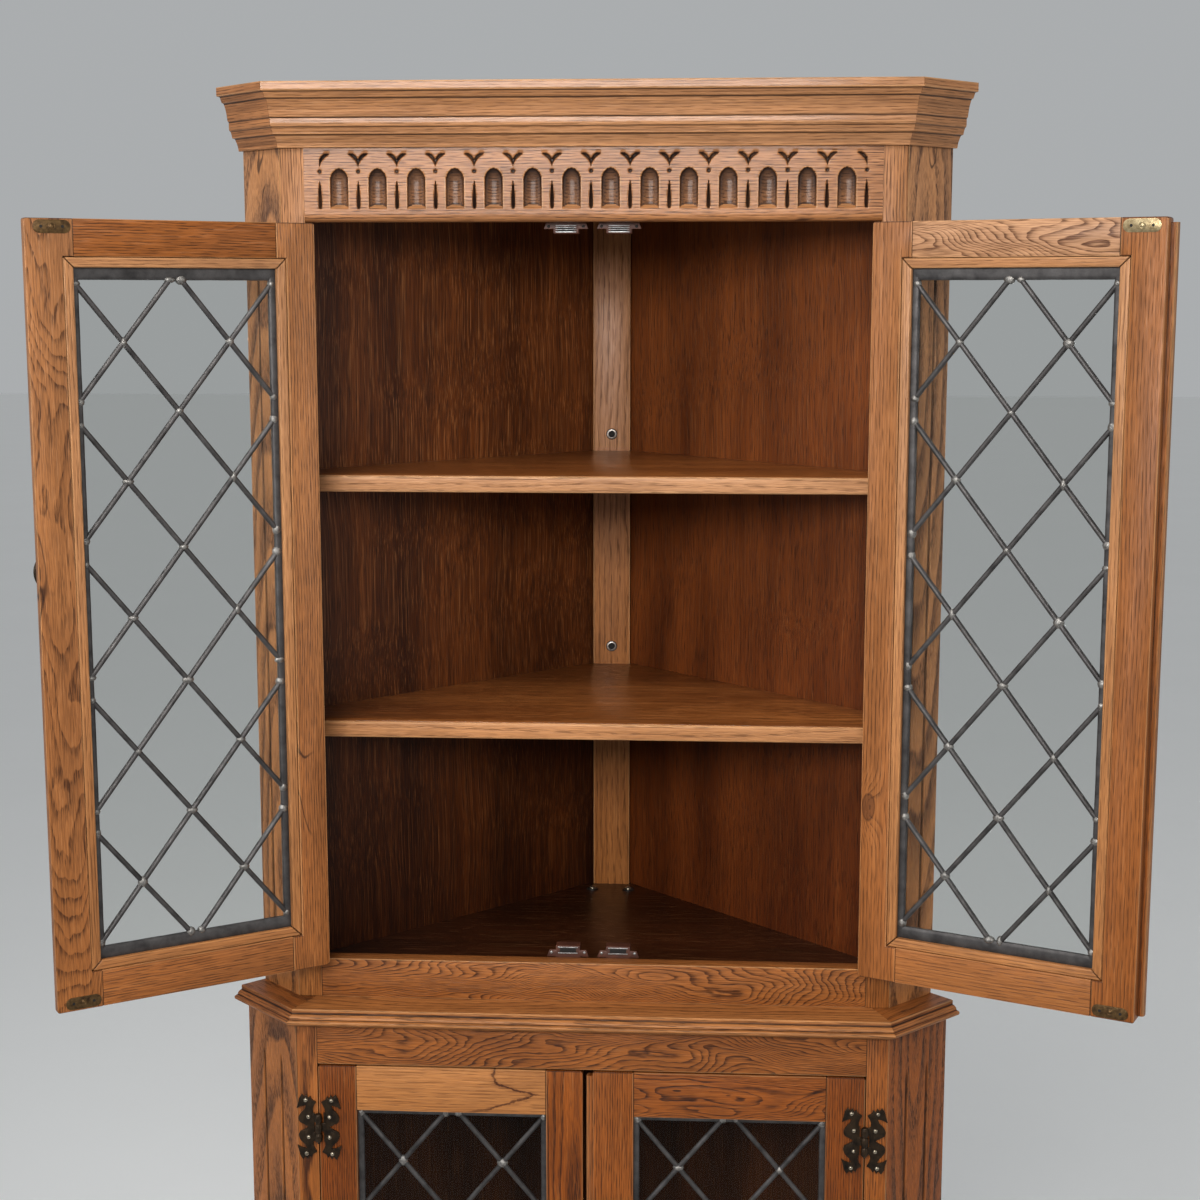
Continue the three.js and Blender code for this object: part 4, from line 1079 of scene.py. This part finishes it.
# Whether a board is straight-grained, or its lean, and which finish it takes. The knot and the forked streak
# lie where their board lay in its log.
figureKinds = {"straight": (True, 0), "wild": (False, 1), "lined": (0.02, 3), "knot": (True, 4),
               "forked": (True, 5), "calm": (True, 2), "soft": (False, 6)}
knotted, forked = pithOf(220, True)[0], pithOf(243, True)[0]
oakKnot = oakFinish("oakKnot", 0.0034, 0.34, 0.4, poreDepth=0.6, split=0.0,
                    knot=(knotted[0] - 0.212, knotted[1] - 0.0134))
oakForked = oakFinish("oakForked", 0.0034, 0.26, 0.3, poreDepth=0.5, split=0.0,
                      fork=(forked[0], forked[1] + 0.006, forked[2]))
doorFinishes = [oak, oakWild, oakCalm, oakLined, oakKnot, oakForked, oakSoft]


def doorFrame(name, door, seed):
    j = joinery
    side, w, h = door["side"], door["width"], door["height"]
    f, e = door["footRail"], h - door["headRail"]
    place, tones = doorPlace(door), door["tones"]
    front, back, step = j["axisOut"], doorBack, j["axisOut"] + j["rebate"]
    left, right, bead, gap = j["stile"], j["stile"] + j["sight"], j["bead"], j["gap"]
    outwards = Vector((side, 0, 0))
    alongZ, alongX = (zAxis, outwards, yAxis), (outwards, zAxis, yAxis)
    figures = [figureKinds[kind] for kind in door["figure"]]
    target = newBody()

    def innerEdge(plain, sunk):
        return [(plain, 0), (plain, f - bead), (sunk, f - bead), (sunk, e + bead), (plain, e + bead), (plain, h)]

    foot, head = ([(0, r), (0.3 * r, 0.3 * r), (r, 0)] for r in (j["corner"], j["cornerSmall"]))
    outer = [(w - s, z) for s, z in reversed(head)] + [(w - s, h - z) for s, z in head]
    head = [(s, h - z) for s, z in reversed(head)]
    hinged, hingedIn = (foot + innerEdge(left, sunk) + head for sunk in (left, left - bead))
    rebated(target, [(hinged, front), (hinged, step), (hingedIn, step), (hingedIn, back)], side, place, alongZ, seed,
            tones[0], *figures[0])
    meeting, meetingIn = (outer + innerEdge(right, sunk)[::-1] for sunk in (right, right + bead))
    layers = [(meeting, front), (meeting, step), (meetingIn, step)]
    if door["tongue"]:
        tongued = [(s + door["tongue"] if s > w - 6 else s, z) for s, z in meetingIn]
        tongueFront = back - j["tongueDeep"]
        layers += [(meetingIn, tongueFront), (tongued, tongueFront), (tongued, back)]
    else:
        layers += [(meetingIn, back)]
    rebated(target, layers, side, place, alongZ, seed + 1, tones[1], *figures[1])

    s0, s1, shy = left + gap, right - gap, j["railShy"]
    for index, edge, sight, sunk in ((2, 0, f, f - bead), (3, h, e, e + bead)):
        rail, railIn = ([(s0, edge), (s1, edge), (s1, z), (s0, z)] for z in (sight, sunk))
        layers = [(rail, front + shy), (rail, step), (railIn, step), (railIn, back - shy)]
        rebated(target, layers, side, place, alongX, seed + index, tones[index], *figures[index], 0.8)

    inset = bead - j["quirk"]
    s0, s1, z0, z1 = left - inset, right + inset, f - inset, e + inset
    beads = [([(s0, z0), (left, f), (left, e), (s0, z1)], zAxis), ([(s1, z0), (right, f), (right, e), (s1, z1)], zAxis)]
    beads += [([(s0 + 0.2, outside), (left + 0.2, sight), (right - 0.2, sight), (s1 - 0.2, outside)], xAxis)
              for outside, sight in ((z0, f), (z1, e))]
    for index, (outline, along) in enumerate(beads):
        points = [(side * s, j["lightBack"] + 0.2, z) for s, z in outline]
        board(target, points, (0, back - j["beadShy"] - j["lightBack"], 0), along, seed + 4 + index, tones[4], edge=1.5,
              place=place, slot=2, segments=3, wear=0.35)

    # the lip over the other door is chipped and waved by hand
    if door["lip"]:
        steps, inner, lip = 200, w - 1.2, w + door["lip"]
        rings = []
        for k in range(steps + 1):
            z = 5 + (h - 10) * k / steps
            wave = 0.28 * sin(z / 5.2 + 1.4 * sin(z / 61))
            section = [(inner, 0.3), (lip - 1.5, 0.3), (lip - 0.3, 1.4), (lip - 0.2 + wave * 0.5, 5),
                       (lip - 0.8 + wave, 8.6), (lip - 2.2, 9.9 + wave * 0.5), (inner, 10 + wave * 0.5)]
            rings.append([(side * s, front + y, z) for s, y in section])
        wears = [[0, 0.4, 0.8, 0.3, 0.9, 0.4, -1]] * len(rings)
        ringBody(target, rings, wears, alongZ, seed + 9, tones[1] - 0.08, place=place)
    finishPiece(name + "_joinery", target, doorFinishes, [name + "_frame"], name)


# Leaded light: cames swept along the lattice, a spot of solder wherever they meet
def leadTree():
    tree, given, give = nodeGroup("leadedLight", {
        "Came width": "Float", "Came depth": "Float", "Solder": "Float", "Solder depth": "Float",
        "Variation": "Float", "Seed": "Int", "Lead": "Material", "Solder finish": "Material"})
    runs = geo(tree, "MeshToCurve", Mesh=given("Geometry"))
    section = geo(tree, "Transform", Scale=combine(given("Came width"), given("Came depth"), 1.0), Geometry=geo(
        tree, "CurvePrimitiveCircle", {"mode": "RADIUS"}, Resolution=14, Radius=0.5))
    cames = geo(tree, "CurveToMesh", Curve=runs, Profile_Curve=section, Fill_Caps=True)
    ball = geo(tree, "MeshUVSphere", Segments=10, Rings=7, Radius=1.0)
    least, most = 1 - given("Variation"), 1 + given("Variation")
    size = combine(given("Solder"), given("Solder"), given("Solder depth"))
    size = size * jitter(tree, given, combine(least, least, 1.0), combine(most, most, 1.08), "FLOAT_VECTOR")
    spots = geo(tree, "InstanceOnPoints", Points=given("Geometry"), Instance=ball, Scale=size)
    both = tree.nodes.new("GeometryNodeJoinGeometry")
    feed(geo(tree, "SetMaterial", Geometry=cames, Material=given("Lead")), both.inputs[0])
    feed(realised(tree, spots, given("Solder finish")), both.inputs[0])
    give(result(both))
    return tree


leadedLight = leadTree()


def clipped(points, value):
    kept = []
    for here, there in zip(points, points[1:] + points[:1]):
        a, b = value(here), value(there)
        if a >= 0:
            kept.append(here)
        if (a > 0 > b) or (a < 0 < b):
            t = a / (a - b)
            kept.append(tuple(p + (q - p) * t for p, q in zip(here, there)))
    return kept


# The runs of came between joints, as points and edges about the middle of the light
def latticeRuns(halfWide, halfHigh, across, up, apex):
    reach = int(halfWide / across + halfHigh / up) + 2
    lines = [(lean, 2 * k + apex % 2) for k in range(-reach, reach + 1) for lean in (-1, 1)]
    points, edges = [], []

    def pointAt(x, z):
        for i, (a, b) in enumerate(points):
            if math.hypot(a - x, b - z) < 0.5:
                return i
        points.append((x, z))
        return len(points) - 1

    for lean, offset in lines:
        found = []
        for side in (-1, 1):
            z = (offset - lean * side * halfWide / across) * up
            if abs(z) <= halfHigh:
                found.append((side * halfWide, z))
            x = (offset - side * halfHigh / up) * across * lean
            if abs(x) < halfWide:
                found.append((x, side * halfHigh))
        if len(found) < 2:
            continue
        for otherLean, otherOffset in lines:
            x, z = (offset - otherOffset) / 2 * across * lean, (offset + otherOffset) / 2 * up
            if otherLean != lean and abs(x) < halfWide and abs(z) < halfHigh:
                found.append((x, z))
        chain = [pointAt(x, z) for x, z in sorted(found)]
        edges += [(a, b) for a, b in zip(chain, chain[1:]) if a != b]
    return points, edges


# A border came: flat in the groove, its seen edge rolled over, and dented a little along its run
def borderCame(target, spanX, spanZ, depth, along, place):
    (low, high), (start, end) = (spanX, spanZ) if along else (spanZ, spanX)
    middle, half = (low + high) / 2, (high - low) / 2
    section = [(middle + half * math.copysign(abs(c) ** 0.6, c), depth / 2 * math.copysign(abs(s) ** 0.75, s))
               for c, s in circle(1, 16)]
    count = max(2, int((end - start) / 12))
    rng = np.random.default_rng(int(abs(low * 7 + start)) + 3)
    rings = []
    for k in range(count + 1):
        t = start + (end - start) * k / count
        dent = rng.uniform(-0.12, 0.12)
        ring = [(a + dent, b * (1 + dent * 0.1)) for a, b in section]
        rings.append([(a, t, b) if along else (t, a, b) for a, b in ring])
    plainRings(target, rings, [0.35] * 16, place)


def leadedPanel(name, door, seed):
    j = joinery
    middle, halfWide, halfHigh = lightOf(door)
    # the lattice lies in x and y of its own plane, with the plane's z across the door
    stand = middle @ at(0, 0, 0, 90)
    points, edges = latticeRuns(halfWide - j["borderSide"] / 2, halfHigh - door["solderIn"], j["across"], door["up"],
                                round(halfHigh / door["up"]))
    target = newBody()
    values = {"Came width": 0.0055, "Came depth": 0.0061, "Solder": 0.005, "Solder depth": 0.0039, "Variation": 0.3,
              "Seed": seed, "Lead": leadMetal, "Solder finish": solderMetal}
    mesh = grown("lattice", pointMesh([(x, z, 0) for x, z in points], edges), leadedLight, values)
    addGrown(target, mesh, stand, [leadMetal, solderMetal])
    depth = j["lightBack"] - j["lightFront"] - 0.2
    outX, outZ = halfWide + j["hidden"] - 0.3, halfHigh + j["hidden"] - 0.3
    for sign in (-1, 1):
        spanX, spanZ = (sorted((sign * out, sign * seen)) for out, seen in (
            (outX, halfWide - j["borderSide"]), (outZ, halfHigh - door["end"])))
        borderCame(target, spanX, (-outZ, outZ), depth, True, stand)
        borderCame(target, (-outX, outX), spanZ, depth + 0.12, False, stand)
    finishPiece(name + "_cames", target, [leadMetal, solderMetal], [name + "_leads"], name)


# Quarries: one pane to each opening, each set a hair out of true
def quarries(name, door, seed):
    across, up = joinery["across"], door["up"]
    stand, halfWide, halfHigh = lightOf(door)
    apex = round(halfHigh / up)
    halfWide, halfHigh = halfWide - joinery["borderSide"] + 2, halfHigh - door["end"] + 2
    shrink = 1 - 0.6 * math.hypot(across, up) / (across * up)
    columns, rows = math.ceil(halfWide / across), math.ceil(halfHigh / up)
    thick, tilt = joinery["paneHalf"], joinery["paneTilt"]
    rng = np.random.default_rng(seed)
    target = newBody()
    for a in range(-columns, columns + 1):
        for b in range(-rows, rows + 1):
            if (a + b + apex) % 2 == 0:
                continue
            cell = [((a + u * shrink) * across, (b + v * shrink) * up) for u, v in ((1, 0), (0, 1), (-1, 0), (0, -1))]
            for which, half in ((0, halfWide), (1, halfHigh)):
                cell = clipped(cell, lambda p: half - p[which])
                cell = clipped(cell, lambda p: half + p[which])
            area = abs(sum(x0 * z1 - x1 * z0 for (x0, z0), (x1, z1) in zip(cell, cell[1:] + cell[:1]))) / 2
            if area < joinery["leastPane"]:
                continue
            x, z = (sum(p[which] for p in cell) / len(cell) for which in (0, 1))
            tilts = [Matrix.Rotation(rng.uniform(-tilt, tilt), 4, axis) for axis in "ZX"]
            fitting(target, [(px - x, -thick, pz - z) for px, pz in cell], (0, 2 * thick, 0), 0, zAxis,
                    place=stand @ at(x, 0, z) @ tilts[0] @ tilts[1])
    finishPiece(name + "_quarries", target, [glass], [name + "_glass"], name, 20)


for index, (name, door) in enumerate(doors.items()):
    doorFrame(name, door, 200 + 20 * index)
    leadedPanel(name, door, 11 + index)
    quarries(name, door, 31 + index)
print("doors made")

# Cockshead hinges in black bronze: a curled outline, domed pins and a three-knuckle barrel
hinge = {
    "fromEnd": 71, "halfHigh": 38, "reach": 24.6, "neck": 5.2, "back": 4.4, "front": 2.6, "barrel": 4.2, "half": 17,
    "middle": 11, "waist": 0.47,
    "across": (0.25, 0.27, 0.21, 0.12, 0.29, 0.38, 0.46, 0.55, 0.64, 0.76, 0.88, 0.93, 1, 0.83, 0.57, 0.64, 0.83, 0.93,
               0.87, 0.67),
    "up": (0.42, 0.54, 0.66, 0.77, 0.83, 0.94, 0.885, 0.985, 0.91, 1, 0.88, 0.73, 0.56, 0.625, 0.66, 0.55, 0.42, 0.28,
           0.15, 0.08),
    "sharp": {3, 5, 6, 7, 8, 9, 12, 14}, "pins": ((14.3, 31.2), (11.6, 11.8)), "pinRadius": 2.7, "pinRise": 2.2,
}


def leafOutline():
    upper = [(a * hinge["reach"], u * hinge["halfHigh"]) for a, u in zip(hinge["across"], hinge["up"])]
    line = [(hinge["neck"], hinge["half"])] + upper + [(hinge["waist"] * hinge["reach"], 0)]
    smooth = []
    for i in range(len(line) - 1):
        p0, p3 = line[max(i - 1, 0)], line[min(i + 2, len(line) - 1)]
        smooth += curved(p0, line[i], line[i + 1], p3, 1 if i - 1 in hinge["sharp"] else 3)
    return smooth + [line[-1]] + [(x, -z) for x, z in reversed(smooth)]


def knuckle(low, high):
    ball, middle = hinge["barrel"], (low + high) / 2
    swell = (middle - low) * 0.4
    return [(0.4, low), (ball * 0.72, low), (ball * 0.94, low + swell), (ball, middle), (ball * 0.94, high - swell),
            (ball * 0.72, high), (0.4, high)]


def hingeLeaf(target, side, place, isDoor, seed):
    y = hinge["front"]
    fitting(target, [(side * x, y, z) for x, z in leafOutline()], (0, hinge["back"] - y, 0), 0.4, zAxis, seed,
            place=place, wear=0.7)
    half, long = hinge["middle"] / 2, hinge["half"]
    outer = half + 0.5
    if isDoor:
        turned(target, knuckle(-half, half), place, wear=0.5)
        arms = [(-half + 0.6, half - 0.6)]
    else:
        low, high = knuckle(-long + 1.2, -outer), knuckle(outer, long - 0.4)
        turned(target, [(0.2, -long - 1.8), (1.6, -long - 0.8), (1.2, -long + 0.6)] + low[1:], place, wear=0.5)
        turned(target, high[:-1] + [(1.2, long), (0.2, long + 0.6)], place, wear=0.5)
        for low, high in ((-outer - 0.6, -half - 0.06), (half + 0.06, outer + 0.6)):
            turned(target, [(0.3, low), (2.0, low), (2.0, high), (0.3, high)], place, wear=0.1)
        arms = [(-long + 2, -outer - 0.6), (outer + 0.6, long - 1.6)]
    for low, high in arms:
        arm = [(0, y - 0.4, low), (side * 7.5, y - 0.1, low), (side * 7.5, y - 0.1, high), (0, y - 0.4, high)]
        fitting(target, arm, (0, 1.7, 0), 0.4, seed=seed, place=place, wear=0.5)
    pins = [(side * x, z, 0) for x, up in hinge["pins"] for z in (up, -up)]
    addStuds(target, pins, hinge["pinRadius"], hinge["pinRise"], place @ at(0, y + 0.3, 0, 90), 1, seed)


for index, (name, door) in enumerate(doors.items()):
    for spot, z in (("low", hinge["fromEnd"]), ("high", door["height"] - hinge["fromEnd"])):
        for part, sign, seed, swing in (("leaf", 1, 300, door), ("jamb", -1, 320, {**door, "open": 0})):
            body = newBody()
            hingeLeaf(body, sign * door["side"], doorPlace(swing) @ at(0, 0, z), part == "leaf", seed + index)
            node = f"{name}_hinge_{spot}_{part}"
            finishPiece(node + "_plate", body, [bronzeMetal, studMetal], [node],
                        name if part == "leaf" else "case")
print("hinges made")

# Ring pulls
pull = {"s": 272, "above": 81, "face": 16.5, "rosette": 18, "ring": 20.2, "wire": 2.7, "drop": 30.2, "boss": 6,
        "petals": 12.3, "eye": 3.15, "cheek": 2.5}


def ringPull(name, door):
    place = doorPlace(door) @ at(door["side"] * pull["s"], joinery["axisOut"] - 0.2 - pull["face"],
                                 door["height"] / 2 + pull["above"])
    towardsYou = place @ at(0, pull["face"], 0, 90)
    plate = newBody()
    r = pull["rosette"]
    turned(plate, [(0.2, 0), (r, 0), (r, 0.9), (r - 1.2, 1.7), (r - 3.2, 1.5), (r - 4.4, 2.1), (r - 8, 2.6), (7.4, 2.4),
                   (6.4, 3.4), (0.2, 3.4)], towardsYou, steps=40, wear=0.5)
    cheek = [(-4.6, -5), (-4.6, 5), (-3, 6), (14.2, 6), (14.2, -6), (-3, -6)]
    for sign in (-1, 1):
        fitting(plate, [(sign * pull["cheek"], y, z) for y, z in cheek], (sign * (pull["boss"] - 3), 0, 0), 0.9, yAxis,
                7, place=place, wear=0.6)
    turned(plate, [(0.2, -5.9), (2.2, -5.6), (2.4, -4.6), (1.5, -4.4), (1.5, 4.4), (2.4, 4.6), (2.2, 5.6), (0.2, 5.9)],
           place @ at(0, 0, 0, 90, "Y"), steps=16, wear=0.4)
    addStuds(plate, [(*p, 2.1) for p in circle(pull["petals"], 8)], 1.3, 0.9, towardsYou, 0, 5)
    finishPiece(name + "_pull_rosette", plate, [bronzeMetal], [name + "_pull_plate"], name)

    ring = newBody()
    rings = []
    for c, s in circle(1, 48):
        swell = pull["wire"] * (0.78 + 0.22 * (1 - c) / 2)
        rings.append([((pull["ring"] + a) * s, b * 0.92, (pull["ring"] + a) * c - pull["drop"])
                      for a, b in circle(swell, 14)])
    plainRings(ring, rings, [0.5 if 4 < m < 10 else 0.2 for m in range(14)], place, closed=True)
    for sign in (-1, 1):
        section = ((0.02, -1.25), (1.4, -1.2), (1.9, 0), (1.4, 1.2), (0.02, 1.3))
        eye = [[(sign * a, (pull["eye"] + b) * c, (pull["eye"] + b) * s) for a, b in section] for c, s in circle(1, 20)]
        plainRings(ring, eye, [0.3] * 5, place, closed=True)
    stem = [(-1.7, -1.8, -4.1), (1.7, -1.8, -4.1), (1.3, -1.6, -9.6), (-1.3, -1.6, -9.6)]
    fitting(ring, stem, (0, 3.4, 0), 0.8, zAxis, 3, place=place, wear=0.4)
    finishPiece(name + "_pull_bail", ring, [bronzeMetal], [name + "_pull_ring"], name + "_ring")


for name, door in doors.items():
    ringPull(name, door)
print("pulls made")

# Magnetic catches: brown bodies with ears and small screws, steel pole plates and a thin fixing strip. The edge of
# the board that carries them, which way they stand from it, and the (distance, thickness) of the pole plates.
catches = {"bottom_catches": (level["upperRail"], 1, ((3.2, 1.0), (9.6, 1.1))),
           "top_catches": (level["frieze"], -1, ((3.0, 0.8), (5.0, 0.7), (7.1, 0.7), (9.4, 1.3)))}
# Half width, front, start and end from the edge, depth, rounding, finish and how much narrower the far end is
# The mouth slab takes the near-black finish, painted shade in the catch's opening.
slabs = {"strip": (24.6, 55.3, -1, -14, 1.4, 0.4, 1, 0), "body": (13.6, 58.8, -7.8, 11.8, 15.8, 1.2, 0, 0),
         "ears": (23.6, 58.9, -1, 7, 2.4, 0.6, 0, 3.1), "mouth": (9, 58.3, 4.5, 9.4, 2.7, 0.3, 2, 0)}
catch = {"x": (-28, 28), "plate": (11, 57.8), "plateDeep": 10.4, "ear": (18.4, 4.2), "earFront": 58.8,
         "head": (19.5, -6), "headBack": 57}
for name, (edge, up, plates) in catches.items():
    body = newBody()
    parts = [*slabs.values()] + [(*catch["plate"], near, near + thin, catch["plateDeep"], 0.3, 1, 0)
                                 for near, thin in plates]
    for x in catch["x"]:
        for half, y, near, far, deep, ease, slot, taper in parts:
            low, high = sorted((edge + up * near, edge + up * far))
            outline = [(x - half, y, low), (x + half, y, low), (x + half - taper, y, high), (x - half + taper, y, high)]
            fitting(body, outline, (0, deep, 0), ease, slot=slot, segments=3 if ease > 1 else 2)
    ears, heads = ([(x + s * out, edge + up * away, 0) for x in catch["x"] for s in (-1, 1)]
                   for out, away in (catch["ear"], catch["head"]))
    # the top catches' ear screws take the near-black finish, painted shade at the top of the case
    addStuds(body, ears, 1.6, 0.8, at(0, catch["earFront"], 0, 90), 1 if up > 0 else 2, 6)
    addStuds(body, heads, 2.6, 1.1, at(0, catch["headBack"], 0, -90) @ Matrix.Scale(-1, 4, (0, 1, 0)), 1, 4)
    finishPiece(name + "_magnets", body, [catchPlastic, steelMetal, paintedShade], [name])

# Strike plates for the catches on the inner faces of the upper doors; all are dark brass but the right door's top one
strike = {"long": 37, "high": 13, "thick": 1.1, "sunk": 0.6, "s": 272, "fromEnd": 8, "screws": 10.5}
for name, topFinish in (("upper_left_door", darkBrass), ("upper_right_door", brassMetal)):
    door = doors[name]
    body = newBody()
    radius = strike["high"] / 2
    flat = strike["long"] / 2 - radius
    turns = [pi * (k / 12 - 0.5) for k in range(13)]
    outline = [(sign * (flat + radius * cos(t)), 0, sign * radius * sin(t)) for sign in (1, -1) for t in turns]
    for z, plate in ((strike["fromEnd"], 2), (door["height"] - strike["fromEnd"], 0)):
        place = doorPlace(door) @ at(door["side"] * strike["s"], doorBack - strike["sunk"], z)
        fitting(body, outline, (0, strike["thick"], 0), 0.35, place=place, slot=plate)
        out = place @ at(0, strike["thick"], 0, -90)
        turned(body, [(0.2, 0.02), (3.1, 0.02), (3.4, 0.25), (2.9, 0.5), (2.4, 0.3), (2.0, 0.7), (1.2, 1.0),
                      (0.2, 1.1)], out, plate, 20)
        # the screw holes are near-black discs, painted shade
        for x in (-strike["screws"], strike["screws"]):
            turned(body, [(0.2, -0.1), (1.5, -0.1), (1.5, 0.06), (0.2, 0.06)], out @ at(x, 0, 0), 1, 14)
    finishPiece(name + "_strike_plates", body, [topFinish, paintedShade, darkBrass], (), name)

# Eyelets in the back post and the two bolts through the floor of the upper case
eyelets = {"places": (1430, 1159.6), "outer": 6.1, "hole": 4.3}
body = newBody()
for z in eyelets["places"]:
    stand = at(0, backReach - plan["postDepth"], z, 90)
    r, h = eyelets["outer"], eyelets["hole"]
    # a painted shadow ring round each eyelet, and a near-black disc down its hole as painted shade
    shadow = [(h, -0.1), (r + 0.8, -0.1), (r + 0.8, 0.25), (r + 0.5, 0.35), (h, 0.35)]
    ring = [(h - 0.6, -0.1), (r, -0.1), (r, 0.3), (r - 0.6, 0.8), (h + 0.4, 0.9), (h, 0.5), (h - 0.6, 0.1)]
    floor = [(0.2, 0), (h + 0.1, 0), (h + 0.1, 0.14), (0.2, 0.14)]
    for profile, slot, steps in ((shadow, 1, 32), (ring, 0, 32), (floor, 1, 24)):
        turned(body, profile, stand, slot, steps)
finishPiece("post_eyelets", body, [eyeletMetal, paintedShade], ())

bolts = {"x": 23, "y": 403, "washer": 7.5, "head": 4.6}
body = newBody()
floorTop = at(0, 0, level["waistTop"] + plan["sheetThick"])
r = bolts["washer"]
for x in (-bolts["x"], bolts["x"]):
    turned(body, [(0.2, 0), (r, 0), (r, 0.9), (r - 0.4, 1.3), (0.2, 1.3)], floorTop @ at(x, bolts["y"], 0), 0, 28)
addStuds(body, [(x, bolts["y"], 1.2) for x in (-bolts["x"], bolts["x"])], bolts["head"], 3.2, floorTop, 1, 8)
finishPiece("floor_bolts", body, [blackIron, studMetal], ())
print("small fittings made")

# Floor
floorMaterial, floorTree, floorShader = newMaterial("studioFloor", Roughness=0.75)
cloud = noise(objectPlace(floorTree), 2, 3, 0.6)
feed(blend(cloud, colour(248, 248, 247), colour(244, 244, 243)), floorShader.inputs["Base Color"])
floorMesh = bpy.data.meshes.new("floor")
floorMesh.from_pydata([(-30, -30, 0), (30, -30, 0), (30, 30, 0), (-30, 30, 0)], [], [(0, 1, 2, 3)])
floorMesh.materials.append(floorMaterial)
link("floor", floorMesh)
